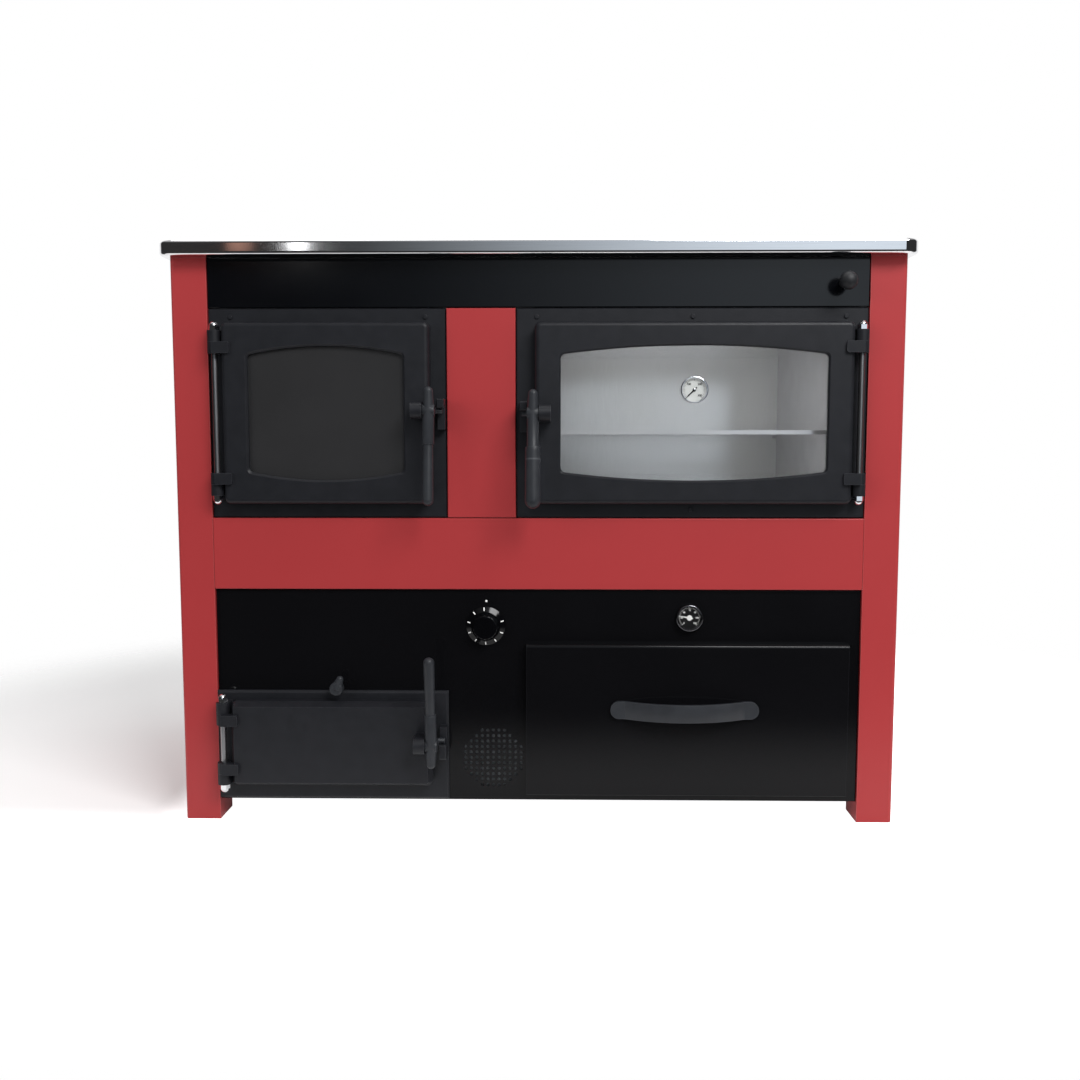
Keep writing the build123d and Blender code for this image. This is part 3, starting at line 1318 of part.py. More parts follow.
# ---- controls ----
def thermostat_knob():
    """A fluted cap on a sloping skirt, with its spindle."""
    rim_radius, shoulder_radius, skirt_height = DIAL_SKIRT
    cap_radius, cap_height = DIAL_CAP
    back = LOWER_PANEL_FACE - SEAM
    skirt_front = back - skirt_height
    cap_front = skirt_front - cap_height
    rim_front = back - DIAL_RIM
    rim = bar_y(DIAL_X, rim_front, back, DIAL_Z, rim_radius)
    slope = Cone(rim_radius, shoulder_radius, rim_front - skirt_front)
    slope = Pos(DIAL_X, DEPTH_ORIGIN + (rim_front + skirt_front) / 2, DIAL_Z) * Rot(90, 0, 0) * slope
    cap = bar_y(DIAL_X, cap_front, skirt_front, DIAL_Z, cap_radius)
    cap = fillet(cap.edges().sort_by(Axis.Y)[0], cap_radius / 8)
    for number in range(DIAL_FLUTES):
        angle = radians(360.0 * number / DIAL_FLUTES)
        x = DIAL_X + cap_radius * cos(angle)
        z = DIAL_Z + cap_radius * sin(angle)
        cap = cap - bar_y(x, cap_front, skirt_front, z, DIAL_FLUTE_RADIUS)
    spindle_end = BULKHEAD_BACK + THERMOSTAT_BODY[1] / 2
    spindle = bar_y(DIAL_X, back, spindle_end, DIAL_Z, DIAL_SPINDLE_RADIUS)
    return rim + slope + cap + spindle


def thermostat_body():
    """The regulator behind the bulkhead, with the spindle's bore."""
    width, depth, height = THERMOSTAT_BODY
    y0 = BULKHEAD_BACK
    body = block(
        DIAL_X - width / 2, DIAL_X + width / 2, y0, y0 + depth, DIAL_Z - height / 2, DIAL_Z + height / 2
    )
    body = fillet(body.edges().filter_by(Axis.Y), BARREL_RADIUS / 2)
    bore = bar_y(DIAL_X, y0, y0 + depth / 2 + SEAM, DIAL_Z, DIAL_SPINDLE_RADIUS + PIN_CLEARANCE)
    return body - bore


def water_gauge_case():
    """The water thermometer's bezel before the panel and its can behind it."""
    front = LOWER_PANEL_FACE - GAUGE_DEPTH
    case = instrument_case(GAUGE_X, GAUGE_Z, front, GAUGE_DEPTH, GAUGE_RADIUS)
    case = case + bar_y(
        GAUGE_X, LOWER_PANEL_FACE, LOWER_PANEL_FACE + GAUGE_CAN_LENGTH, GAUGE_Z, GAUGE_CAN_RADIUS
    )
    return case - arbor_hole(GAUGE_X, GAUGE_Z, front)


# ---- fuel drawer ----
def drawer_box_span():
    """Left, right, bottom and top of the drawer's box."""
    return (
        DRAWER_LEFT_X + DRAWER_BOX_MARGIN,
        DRAWER_RIGHT_X - DRAWER_BOX_MARGIN,
        DRAWER_BOX_BOTTOM,
        DRAWER_BOX_TOP,
    )


def drawer_mouth(y0, y1):
    """The opening in the lower panel that the drawer's box passes."""
    x0, x1, z0, z1 = drawer_box_span()
    gap = DRAWER_CLEARANCE
    return block(x0 - gap, x1 + gap, y0, y1, z0 - gap, z1 + gap)


def drawer_front():
    """The drawer's folded front, a hair off the panel behind it."""
    back = LOWER_PANEL_FACE - DRAWER_PANEL_GAP
    sheet = DRAWER_SHEET
    outer = block(DRAWER_LEFT_X, DRAWER_RIGHT_X, DRAWER_FACE, back, DRAWER_BOTTOM, DRAWER_TOP)
    outer = fillet(front_edges(outer).sort_by(Axis.Z)[-1], DRAWER_TOP_BEND)
    outer = fillet(front_edges(outer).sort_by(Axis.Z)[0], SHEET_BEND)
    return outer - block(
        DRAWER_LEFT_X + sheet,
        DRAWER_RIGHT_X - sheet,
        DRAWER_FACE + sheet,
        back,
        DRAWER_BOTTOM + sheet,
        DRAWER_TOP - DRAWER_TOP_BEND,
    )


def drawer_box():
    """The open sheet box behind the drawer's front."""
    x0, x1, z0, z1 = drawer_box_span()
    y0 = DRAWER_FACE + DRAWER_SHEET
    y1 = DRAWER_BOX_BACK
    sheet = DRAWER_SHEET
    return block(x0, x1, y0, y1, z0, z1) - block(x0 + sheet, x1 - sheet, y0 + sheet, y1 - sheet, z0 + sheet, z1)


def drawer_handle():
    """A flat bar bowed forward, with rounded ends on two feet."""
    half = BOW_LENGTH / 2
    middle = BOW_X
    z0 = BOW_Z - BOW_HEIGHT / 2
    thick = BOW_THICKNESS
    front = DRAWER_FACE
    outer_end = half - BOW_FOOT
    edges = [
        Line((-half, front), (-half, front - thick)),
        Line((-half, front - thick), (-outer_end, front - thick)),
        ThreePointArc((-outer_end, front - thick), (0, front - BOW_RISE), (outer_end, front - thick)),
        Line((outer_end, front - thick), (half, front - thick)),
        Line((half, front - thick), (half, front)),
        Line((half, front), (outer_end, front)),
        ThreePointArc((outer_end, front), (0, front - BOW_RISE + thick), (-outer_end, front)),
        Line((-outer_end, front), (-half, front)),
    ]
    plan = make_face(edges)
    bar = Pos(middle, DEPTH_ORIGIN, z0) * extrude(plan, amount=BOW_HEIGHT)
    ends = [
        edge
        for edge in bar.edges().filter_by(Axis.Y)
        if abs(abs(edge.center().X - middle) - half) < thick
    ]
    return fillet(ends, BOW_HEIGHT / 2 - SEAM / 2)


# ---- flue and damper ----
def smoke_box():
    """The sheet casing that leads the smoke round the oven, open to the hob and the fire."""
    y0 = BULKHEAD_BACK
    y1 = SMOKE_BACK
    sheet = SMOKE_SHEET
    top = HOB_UNDERSIDE - SEAM
    casing = block(JACKET_RIGHT_X, SMOKE_RIGHT_X, y0, y1 + sheet, SMOKE_BOTTOM, top)
    casing = casing - block(JACKET_RIGHT_X, SMOKE_RIGHT_X - sheet, y0, y1, SMOKE_BOTTOM + sheet, top)
    casing = casing - block(JACKET_RIGHT_X, SMOKE_RIGHT_X, y0, RAIL_LEDGE_EDGE + SEAM, COLUMN_HEIGHT, top)
    return casing - bar_y(FLUE_X, y1, y1 + sheet, FLUE_Z, FLUE_RADIUS - FLUE_WALL)


def flue_collar():
    """The flue spigot, from the smoke casing out through the back, on a round flange."""
    face = BACK_PANEL_FACE
    start = SMOKE_BACK + SMOKE_SHEET
    end = REAR_END
    collar = bar_y(FLUE_X, start, end, FLUE_Z, FLUE_RADIUS)
    collar = collar + bar_y(FLUE_X, face, face + FLUE_FLANGE_THICKNESS, FLUE_Z, FLUE_RADIUS + FLUE_FLANGE)
    return collar - bar_y(FLUE_X, start, end, FLUE_Z, FLUE_RADIUS - FLUE_WALL)


def damper_rod():
    """The damper's pull rod, with the plate that shuts the short way to the flue."""
    rod = bar_y(DAMPER_X, DAMPER_KNOB_CENTRE, SMOKE_BACK, DAMPER_Z, DAMPER_ROD_RADIUS)
    half = FLUE_RADIUS - FLUE_WALL + DAMPER_PLATE_LAP
    thick = DAMPER_PLATE_THICKNESS
    plate = block(FLUE_X - half, FLUE_X + half, SMOKE_BACK - thick, SMOKE_BACK, FLUE_Z - half, FLUE_Z + half)
    leak = bar_y(FLUE_X, SMOKE_BACK - thick, SMOKE_BACK, FLUE_Z, DAMPER_LEAK_RADIUS)
    return rod + (plate - leak)


def damper_knob():
    """A ball knob with a short neck, screwed on the rod."""
    centre = Pos(DAMPER_X, DEPTH_ORIGIN + DAMPER_KNOB_CENTRE, DAMPER_Z)
    neck_end = FASCIA_FACE - DAMPER_STOP
    knob = centre * Sphere(DAMPER_KNOB_RADIUS)
    knob = knob + bar_y(DAMPER_X, DAMPER_KNOB_CENTRE, neck_end, DAMPER_Z, DAMPER_NECK_RADIUS)
    hole = DAMPER_ROD_RADIUS + FIXED_CLEARANCE
    return knob - bar_y(DAMPER_X, DAMPER_KNOB_CENTRE, neck_end, DAMPER_Z, hole)


def build_nodes():
    """Every node of the stove, by name."""
    nodes = columns()
    nodes["side_panel_left"] = side_panel(-1)
    nodes["side_panel_right"] = side_panel(1)
    nodes["back_panel"] = back_panel()
    nodes["base_plate"] = base_plate()
    nodes["front_bulkhead"] = front_bulkhead()
    nodes["hob_frame"] = hob_frame()
    nodes["hob_plate_left"] = hob_plate_left()
    nodes["hob_plate_right"] = hob_plate(*hob_edges()[1])
    nodes["hob_lid_ring"] = hob_lid_ring()
    nodes["hob_lid_centre"] = hob_lid_centre()
    nodes["top_fascia"] = top_fascia()
    nodes["centre_panel"] = tray(CENTRE_LEFT, CENTRE_RIGHT, PLATE_BOTTOM, PLATE_TOP, 0.0, BULKHEAD_FACE)
    nodes["cross_band"] = tray(-INNER_X, INNER_X, BAND_BOTTOM, BAND_TOP, 0.0, BULKHEAD_FACE)
    nodes["lower_panel"] = lower_panel()
    fire_opening = throat(FIRE, PLATE_FACE, BULKHEAD_FACE)
    oven_opening = oven_mouth(PLATE_FACE, BULKHEAD_FACE)
    nodes["fire_frame_plate"] = frame_plate(-INNER_X, FIRE_PLATE_RIGHT, FIRE, fire_opening)
    nodes["oven_frame_plate"] = frame_plate(OVEN_PLATE_LEFT, INNER_X, OVEN, oven_opening)
    nodes["ash_frame_plate"] = ash_frame_plate()
    for name, door in (("fire", FIRE), ("oven", OVEN), ("ash", ASH)):
        nodes[f"{name}_door"] = door_body(door)
        nodes[f"{name}_door_seal"] = door_seal(door)
        nodes[f"{name}_handle"] = lever(door)
        if door.window:
            nodes[f"{name}_glass_clips"] = glass_clips(door)
    nodes["fire_door_glass"] = door_glass(FIRE)
    nodes["oven_door_glass"] = oven_door_glass()
    nodes["hinge_rods"] = hinge_rods()
    nodes["hinge_cap_nuts"] = hinge_cap_nuts()
    nodes["plate_screws"] = plate_screws()
    nodes["oven_liner"] = oven_liner()
    nodes["oven_shelf"] = oven_shelf()
    x, z = thermometer_place()
    front = thermometer_front()
    nodes["oven_thermometer_case"] = oven_thermometer_case()
    nodes["oven_thermometer_glass"] = instrument_glass(x, z, front, THERMOMETER_RADIUS)
    nodes["oven_thermometer_needle"] = instrument_needle(x, z, front, THERMOMETER_RADIUS, OVEN_NEEDLE_ANGLE)
    nodes["boiler_jacket"] = boiler_jacket()
    nodes["ash_pit"] = ash_pit()
    nodes["ash_pan"] = ash_pan()
    nodes["grate"] = grate()
    nodes["riddling_lever"] = riddling_lever()
    nodes["air_flap"] = air_flap()
    nodes["fuel_drawer_front"] = drawer_front()
    nodes["fuel_drawer_box"] = drawer_box()
    nodes["fuel_drawer_handle"] = drawer_handle()
    nodes["thermostat_knob"] = thermostat_knob()
    nodes["thermostat_body"] = thermostat_body()
    gauge_front = LOWER_PANEL_FACE - GAUGE_DEPTH
    nodes["water_gauge_case"] = water_gauge_case()
    nodes["water_gauge_glass"] = instrument_glass(GAUGE_X, GAUGE_Z, gauge_front, GAUGE_RADIUS)
    nodes["water_gauge_needle"] = instrument_needle(
        GAUGE_X, GAUGE_Z, gauge_front, GAUGE_RADIUS, WATER_NEEDLE_ANGLE
    )
    nodes["smoke_box"] = smoke_box()
    nodes["flue_collar"] = flue_collar()
    nodes["damper_rod"] = damper_rod()
    nodes["damper_knob"] = damper_knob()
    return nodes


if __name__ == "__main__":
    os.makedirs("parts", exist_ok=True)
    for node, shape in build_nodes().items():
        if isinstance(shape, list):
            shape = Compound(children=shape)
        export_step(shape, f"parts/{node}.step")
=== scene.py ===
import json
import math

import bmesh
import bpy
from mathutils import Matrix, Vector


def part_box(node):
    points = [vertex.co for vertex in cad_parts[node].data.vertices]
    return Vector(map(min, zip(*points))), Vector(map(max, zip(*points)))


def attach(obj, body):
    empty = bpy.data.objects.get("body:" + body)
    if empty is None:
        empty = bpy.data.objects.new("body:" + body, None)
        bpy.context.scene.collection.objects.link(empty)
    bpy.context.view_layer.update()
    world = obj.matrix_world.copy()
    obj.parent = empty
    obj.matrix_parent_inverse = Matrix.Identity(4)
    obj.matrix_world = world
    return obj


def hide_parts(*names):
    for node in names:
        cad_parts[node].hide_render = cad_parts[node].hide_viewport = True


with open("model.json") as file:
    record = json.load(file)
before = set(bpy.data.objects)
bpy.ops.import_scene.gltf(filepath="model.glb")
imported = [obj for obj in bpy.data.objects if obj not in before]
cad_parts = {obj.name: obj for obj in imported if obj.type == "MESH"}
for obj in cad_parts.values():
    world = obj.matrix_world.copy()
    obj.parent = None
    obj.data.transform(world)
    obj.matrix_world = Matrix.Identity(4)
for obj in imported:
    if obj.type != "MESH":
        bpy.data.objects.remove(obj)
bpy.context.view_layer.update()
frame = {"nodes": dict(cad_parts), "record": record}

nodes = frame["nodes"]
MM = 0.001

# ---- the photograph's view, in metres and degrees ----
CAMERA_X = 0.0329
CAMERA_BEFORE_COLUMNS = 1.6371
CAMERA_HEIGHT = 0.5921
CAMERA_PITCH = 5.278
CAMERA_YAW = 0.982
CAMERA_LENS = 35.88
SENSOR = 36.0

COLUMN_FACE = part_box("column_front_left")[0].y


# ---- node graphs ----
def linear(red, green, blue):
    """An sRGB colour, 0 to 255, as the linear RGBA that shaders take."""

    def channel(value):
        value = value / 255
        return value / 12.92 if value <= 0.04045 else ((value + 0.055) / 1.055) ** 2.4

    return channel(red), channel(green), channel(blue), 1.0


def grey(value):
    """A linear grey as RGBA."""
    return value, value, value, 1.0


class Graph:
    """A node tree with short ways to add and join nodes."""

    def __init__(self, tree):
        self.tree = tree

    def add(self, kind, **settings):
        """A new node with its properties set."""
        node = self.tree.nodes.new(kind)
        for key, value in settings.items():
            setattr(node, key, value)
        return node

    def feed(self, value, socket):
        """Link an output to a socket, or set a constant on it."""
        if isinstance(value, bpy.types.NodeSocket):
            self.tree.links.new(value, socket)
        else:
            socket.default_value = value

    def math(self, operation, first, second):
        """The result of a sum on two values or outputs."""
        node = self.add("ShaderNodeMath", operation=operation)
        self.feed(first, node.inputs[0])
        self.feed(second, node.inputs[1])
        return node.outputs["Value"]

    def spread(self, value, low, high, from_low=0.3, from_high=0.7, smooth=False):
        """A value stretched to a range."""
        node = self.add("ShaderNodeMapRange")
        if smooth:
            node.interpolation_type = "SMOOTHSTEP"
        node.inputs["From Min"].default_value = from_low
        node.inputs["From Max"].default_value = from_high
        node.inputs["To Min"].default_value = low
        node.inputs["To Max"].default_value = high
        self.feed(value, node.inputs["Value"])
        return node.outputs["Result"]

    def mix(self, share, first, second):
        """A colour between two colours."""
        node = self.add("ShaderNodeMix", data_type="RGBA")
        self.feed(share, node.inputs["Factor"])
        self.feed(first, node.inputs["A"])
        self.feed(second, node.inputs["B"])
        return node.outputs["Result"]


class Paint(Graph):
    """A Principled material that gets its detail from node helpers."""

    def __init__(self, name, color, roughness, metallic=0.0, specular=0.5):
        self.material = bpy.data.materials.new(name)
        self.material.use_nodes = True
        super().__init__(self.material.node_tree)
        self.shader = self.tree.nodes["Principled BSDF"]
        self.shader.inputs["Base Color"].default_value = color
        self.shader.inputs["Roughness"].default_value = roughness
        self.shader.inputs["Metallic"].default_value = metallic
        self.shader.inputs["Specular IOR Level"].default_value = specular
        self.color = color
        self.color_output = color
        self.roughness = roughness
        self.coordinates = self.add("ShaderNodeTexCoord").outputs["Object"]
        self.bump = None

    def stretched(self, scale):
        """Object coordinates scaled on each axis."""
        mapping = self.add("ShaderNodeMapping")
        mapping.inputs["Scale"].default_value = scale
        self.feed(self.coordinates, mapping.inputs["Vector"])
        return mapping.outputs["Vector"]

    def noise(self, scale, detail=4.0, stretch=(1.0, 1.0, 1.0)):
        """Noise in object space; scale is in cells per metre."""
        node = self.add("ShaderNodeTexNoise")
        node.inputs["Scale"].default_value = scale
        node.inputs["Detail"].default_value = detail
        self.feed(self.stretched(stretch), node.inputs["Vector"])
        return node.outputs["Fac"]

    def share_of(self, amount):
        """The base colour made darker or lighter."""
        return tuple(min(1.0, channel * amount) for channel in self.color[:3]) + (1.0,)

    def show(self, color):
        """Make a colour output the base colour."""
        self.feed(color, self.shader.inputs["Base Color"])
        self.color_output = color
        return self

    def tint(self, value, dark, light):
        """Colour between dark and light shares of the base colour."""
        return self.show(self.mix(value, self.share_of(dark), self.share_of(light)))

    def vary_roughness(self, value, amount):
        """Roughness that goes up and down by an amount."""
        low = max(0.02, self.roughness - amount)
        self.feed(self.spread(value, low, self.roughness + amount), self.shader.inputs["Roughness"])
        return self

    def raise_by(self, value, depth, strength=1.0):
        """Bump of a depth in metres, added over any bump before it."""
        bump = self.add("ShaderNodeBump")
        bump.inputs["Strength"].default_value = strength
        bump.inputs["Distance"].default_value = depth
        self.feed(value, bump.inputs["Height"])
        if self.bump is not None:
            self.feed(self.bump, bump.inputs["Normal"])
        self.bump = bump.outputs["Normal"]
        self.feed(self.bump, self.shader.inputs["Normal"])
        return self

    def worn_edges(self, color, radius, amount):
        """A painted highlight: a lighter colour where the surface turns sharply within a radius in metres,
        standing in for the light that edges and bends catch.
        """
        bevel = self.add("ShaderNodeBevel", samples=4)
        bevel.inputs["Radius"].default_value = radius
        geometry = self.add("ShaderNodeNewGeometry")
        dot = self.add("ShaderNodeVectorMath", operation="DOT_PRODUCT")
        self.feed(bevel.outputs["Normal"], dot.inputs[0])
        self.feed(geometry.outputs["Normal"], dot.inputs[1])
        mask = self.spread(dot.outputs["Value"], amount, 0.0, 0.7, 0.98)
        return self.show(self.mix(mask, self.color_output, color))


# ---- materials ----
# Radii within which edges get a painted highlight, lighter than the paint.
ENAMEL_HIGHLIGHT_RADIUS = 1.2 * MM
CAST_HIGHLIGHT_RADIUS = 1.4 * MM


def enamel(name, color, roughness, peel, specular=0.5, edge=None, mottle=0.03):
    """Sprayed paint on sheet: faint orange peel, mottling and a painted highlight on its edges."""
    paint = Paint(name, color, roughness, specular=specular)
    paint.tint(paint.spread(paint.noise(3.0, 2.0), 0.0, 1.0), 1.0 - mottle, 1.0 + mottle)
    # The edge colour is a painted highlight where bends and rims catch the light.
    if edge:
        paint.worn_edges(edge, ENAMEL_HIGHLIGHT_RADIUS, 0.6)
    paint.vary_roughness(paint.noise(14.0, 3.0), 0.02)
    return paint.raise_by(paint.noise(420.0, 2.0), peel)


def cast(name, color, roughness, grain, edge=None, specular=0.3, mottle=0.1):
    """Painted or bare cast iron: sand grain, soft waviness and a painted highlight on its edges."""
    paint = Paint(name, color, roughness, specular=specular)
    paint.tint(paint.spread(paint.noise(45.0, 6.0), 0.0, 1.0), 1.0 - mottle, 1.0 + mottle)
    # The edge colour is a painted highlight where edges catch the light.
    if edge:
        paint.worn_edges(edge, CAST_HIGHLIGHT_RADIUS, 0.5)
    paint.vary_roughness(paint.noise(90.0), 0.05)
    paint.raise_by(paint.noise(18.0, 2.0), grain)
    return paint.raise_by(paint.noise(1100.0, 3.0), grain / 2, 0.7)


def brushed(name, color, roughness, stretch, depth, metallic=1.0):
    """Ground or brushed metal: fine lines along the stretched axis."""
    paint = Paint(name, color, roughness, metallic=metallic)
    lines = paint.noise(1400.0, 3.0, stretch)
    paint.tint(paint.spread(lines, 0.0, 1.0), 0.94, 1.04)
    paint.vary_roughness(paint.noise(9.0), 0.03)
    return paint.raise_by(lines, depth, 0.6)


def polished(name, color, roughness, ripple=0.01 * MM):
    """Plated or polished metal with a trace of handling."""
    paint = Paint(name, color, roughness, metallic=1.0)
    paint.tint(paint.spread(paint.noise(24.0), 0.0, 1.0), 0.96, 1.03)
    paint.vary_roughness(paint.noise(30.0), 0.02)
    return paint.raise_by(paint.noise(60.0, 2.0), ripple)


def glazing(name, color, alpha, roughness=0.03, specular=0.5):
    """Clear or smoked glass that lets the light through, with faint smears."""
    paint = Paint(name, color, roughness, specular=specular)
    paint.tint(paint.spread(paint.noise(9.0), 0.0, 1.0), 0.93, 1.07)
    paint.vary_roughness(paint.noise(40.0), 0.015)
    paint.shader.inputs["Alpha"].default_value = alpha
    return paint


def galvanised():
    """Zinc spangle on sheet steel."""
    paint = Paint("galvanised_sheet", linear(150, 153, 156), 0.42, metallic=0.75)
    cells = paint.add("ShaderNodeTexVoronoi")
    cells.inputs["Scale"].default_value = 70.0
    paint.feed(paint.coordinates, cells.inputs["Vector"])
    split = paint.add("ShaderNodeSeparateColor")
    paint.feed(cells.outputs["Color"], split.inputs["Color"])
    paint.tint(split.outputs["Red"], 0.82, 1.12)
    paint.vary_roughness(split.outputs["Green"], 0.08)
    return paint.raise_by(paint.noise(260.0), 0.03 * MM)


def rope():
    """Dark glass-fibre yarn."""
    paint = Paint("rope_fibre", linear(96, 94, 88), 0.95, specular=0.2)
    fibres = paint.noise(1600.0, 5.0)
    paint.tint(paint.spread(fibres, 0.0, 1.0), 0.55, 1.25)
    return paint.raise_by(fibres, 0.3 * MM)


def moulded(name, color, roughness, specular=0.4):
    """Moulded plastic with a fine leathery grain."""
    paint = Paint(name, color, roughness, specular=specular)
    paint.tint(paint.spread(paint.noise(30.0), 0.0, 1.0), 0.9, 1.1)
    paint.vary_roughness(paint.noise(200.0), 0.04)
    return paint.raise_by(paint.noise(1500.0, 2.0), 0.02 * MM)


def printed(name, color):
    """Matt printing ink with a slightly uneven edge of wear."""
    paint = Paint(name, color, 0.55, specular=0.3)
    paint.tint(paint.spread(paint.noise(700.0), 0.0, 1.0), 0.92, 1.03)
    return paint.raise_by(paint.noise(2200.0), 0.01 * MM)


# The lighter second colour given to enamel and cast paints a highlight on their edges.
MATERIALS = {
    "red_enamel": enamel(
        "red_enamel_paint", linear(158, 50, 52), 0.34, 0.02 * MM, 0.3, linear(206, 128, 126)
    ),
    "black_enamel": enamel(
        "black_gloss_enamel", linear(11, 11, 13), 0.12, 0.008 * MM, 0.17, linear(44, 45, 50), 0.1
    ),
    "fascia_enamel": enamel("fascia_satin_enamel", linear(5, 6, 9), 0.14, 0.01 * MM, 0.42, mottle=0.08),
    "cast_black": cast("stove_paint_on_cast", linear(27, 28, 32), 0.44, 0.12 * MM, linear(70, 71, 77), 0.25),
    "hob_iron": brushed("ground_hob_iron", linear(70, 70, 72), 0.42, (0.02, 1.0, 1.0), 0.04 * MM, 0.55),
    "polished_rail": brushed(
        "polished_rail_steel", linear(232, 232, 234), 0.07, (0.01, 1.0, 1.0), 0.004 * MM
    ),
    "chrome_trim": polished("bright_chrome", linear(232, 233, 236), 0.08),
    "handle_iron": cast("handle_paint", linear(40, 42, 46), 0.42, 0.08 * MM, linear(92, 94, 99)),
    "stainless_oven": brushed(
        "oven_stainless", linear(226, 226, 227), 0.15, (1.0, 0.02, 0.02), 0.003 * MM, 0.55
    ),
    "ceramic_glass": glazing("smoked_glass", linear(44, 44, 45), 0.93, 0.16, 0.3),
    "clear_glass": glazing("instrument_glass", linear(20, 20, 20), 0.07),
    "rope_seal": rope(),
    "boiler_steel": cast("boiler_plate", linear(84, 84, 86), 0.6, 0.2 * MM),
    "galvanised": galvanised(),
    "black_plastic": moulded("black_plastic_grain", linear(5, 5, 7), 0.12, 0.25),
    "steel_fastener": polished("zinc_plated_steel", linear(150, 150, 152), 0.38, 0.004 * MM),
    "needle_black": printed("needle_black_paint", linear(14, 14, 14)),
    "needle_white": printed("needle_white_paint", linear(236, 236, 234)),
}
OVEN_GLASS = glazing("clear_door_glass", linear(40, 42, 44), 0.1).material
MATT_PLASTIC = moulded("matt_plastic_grain", linear(27, 28, 31), 0.55).material
ROPE = MATERIALS["rope_seal"].material
WHITE_INK = printed("white_ink", linear(240, 240, 238)).material
BLACK_INK = printed("black_ink", linear(16, 16, 16)).material
DIAL_WHITE = printed("dial_white", linear(216, 219, 217)).material
BRIGHT = MATERIALS["chrome_trim"].material
SMOKED = polished("smoked_chrome", linear(118, 118, 122), 0.12).material
DIAL_BLACK = printed("dial_black", linear(10, 10, 12)).material


SHARP_ANGLE = math.radians(35)
MERGE_DISTANCE = 0.02 * MM


def dress(obj, material):
    """Give an object one material on every slot."""
    obj.data.materials.clear()
    obj.data.materials.append(material)


def soften(obj, width, segments=2):
    """Join the mesh and round its sharp edges by a modifier."""
    weld = obj.modifiers.new("weld", "WELD")
    weld.merge_threshold = MERGE_DISTANCE
    bevel = obj.modifiers.new("edge", "BEVEL")
    bevel.width = width
    bevel.segments = segments
    bevel.limit_method = "ANGLE"
    bevel.angle_limit = SHARP_ANGLE
    bevel.harden_normals = True


# Wide flat sheets have their bends in the solids; only compact castings are rounded here.
ROUNDED = {
    "fire_handle": 0.8,
    "oven_handle": 0.8,
    "ash_handle": 0.8,
    "riddling_lever": 0.8,
    "fuel_drawer_handle": 0.8,
    "grate": 0.8,
    "hob_lid_ring": 0.5,
    "hob_lid_centre": 0.5,
    "damper_knob": 0.3,
}
for part in frame["record"]["subparts"]:
    dress(nodes[part["node"]], MATERIALS[part["material_slot"]].material)
for node, width in ROUNDED.items():
    soften(nodes[node], width * MM)
dress(nodes["oven_door_glass"], OVEN_GLASS)
dress(nodes["damper_knob"], MATT_PLASTIC)
dress(nodes["water_gauge_case"], SMOKED)


# ---- building pieces ----
def piece(name, mesh, material, body):
    """Link a finished mesh as a piece that rides on a body."""
    obj = bpy.data.objects.new(name, mesh)
    bpy.context.scene.collection.objects.link(obj)
    dress(obj, material)
    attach(obj, body)
    return obj


def finish_mesh(bm, name, smooth=True):
    """Turn a bmesh into mesh data."""
    mesh = bpy.data.meshes.new(name)
    bmesh.ops.recalc_face_normals(bm, faces=bm.faces)
    bm.to_mesh(mesh)
    bm.free()
    if smooth:
        mesh.shade_smooth()
        mesh.set_sharp_from_angle(angle=SHARP_ANGLE)
    return mesh


def facing(x, y, z):
    """A frame at a point whose local Z looks forward, out of the stove's front."""
    return Matrix.Translation((x, y, z)) @ Matrix.Rotation(math.radians(90), 4, "X")


def lathe(bm, profile, place, segments=64):
    """Revolve (radius, height) pairs about the local Z of a place."""
    rings = []
    for radius, height in profile:
        if radius <= 0:
            rings.append([bm.verts.new(place @ Vector((0, 0, height)))])
            continue
        ring = []
        for step in range(segments):
            angle = 2 * math.pi * step / segments
            point = Vector((radius * math.cos(angle), radius * math.sin(angle), height))
            ring.append(bm.verts.new(place @ point))
        rings.append(ring)
    for near, far in zip(rings, rings[1:]):
        for step in range(segments):
            following = (step + 1) % segments
            if len(near) == 1:
                bm.faces.new((near[0], far[following], far[step]))
            elif len(far) == 1:
                bm.faces.new((near[step], near[following], far[0]))
            else:
                bm.faces.new((near[step], near[following], far[following], far[step]))


def bar(bm, place, width, length, height):
    """A thin bar that stands on a place, its width along local X and its length along local Y."""
    corners = []
    for z in (0.0, height):
        for x, y in ((-1, -1), (1, -1), (1, 1), (-1, 1)):
            corners.append(bm.verts.new(place @ Vector((x * width / 2, y * length / 2, z))))
    for face in ((3, 2, 1, 0), (4, 5, 6, 7), (0, 1, 5, 4), (1, 2, 6, 5), (2, 3, 7, 6), (3, 0, 4, 7)):
        bm.faces.new([corners[index] for index in face])


def clock(angle):
    """Rotation about the local Z that carries local +Y clockwise, seen from the front."""
    return Matrix.Rotation(-math.radians(angle), 4, "Z")


def tube(bm, centres, radius, sides):
    """A closed tube round a closed run of centres."""
    count = len(centres)
    rings = []
    side = Vector((0, -1, 0))
    for index, centre in enumerate(centres):
        along = (centres[(index + 1) % count] - centres[index - 1]).normalized()
        side = (side - along * side.dot(along)).normalized()
        across = along.cross(side)
        ring = []
        for step in range(sides):
            angle = 2 * math.pi * step / sides
            offset = side * math.cos(angle) + across * math.sin(angle)
            ring.append(bm.verts.new(centre + offset * radius))
        rings.append(ring)
    for index, ring in enumerate(rings):
        following = rings[(index + 1) % count]
        for step in range(sides):
            after = (step + 1) % sides
            bm.faces.new((ring[step], ring[after], following[after], following[step]))


# ---- rope seals: three yarns twisted round the groove behind each door ----
SEAL_WIDTH = 8.0 * MM
SEAL_CORNER = 7.0 * MM
ROPE_PITCH = 17.0 * MM
ROPE_STEP = 1.6 * MM
YARN_RADIUS = 1.9 * MM
YARN_REACH = 1.88 * MM
YARNS = 3
YARN_SIDES = 7
BEND_STEPS = 8


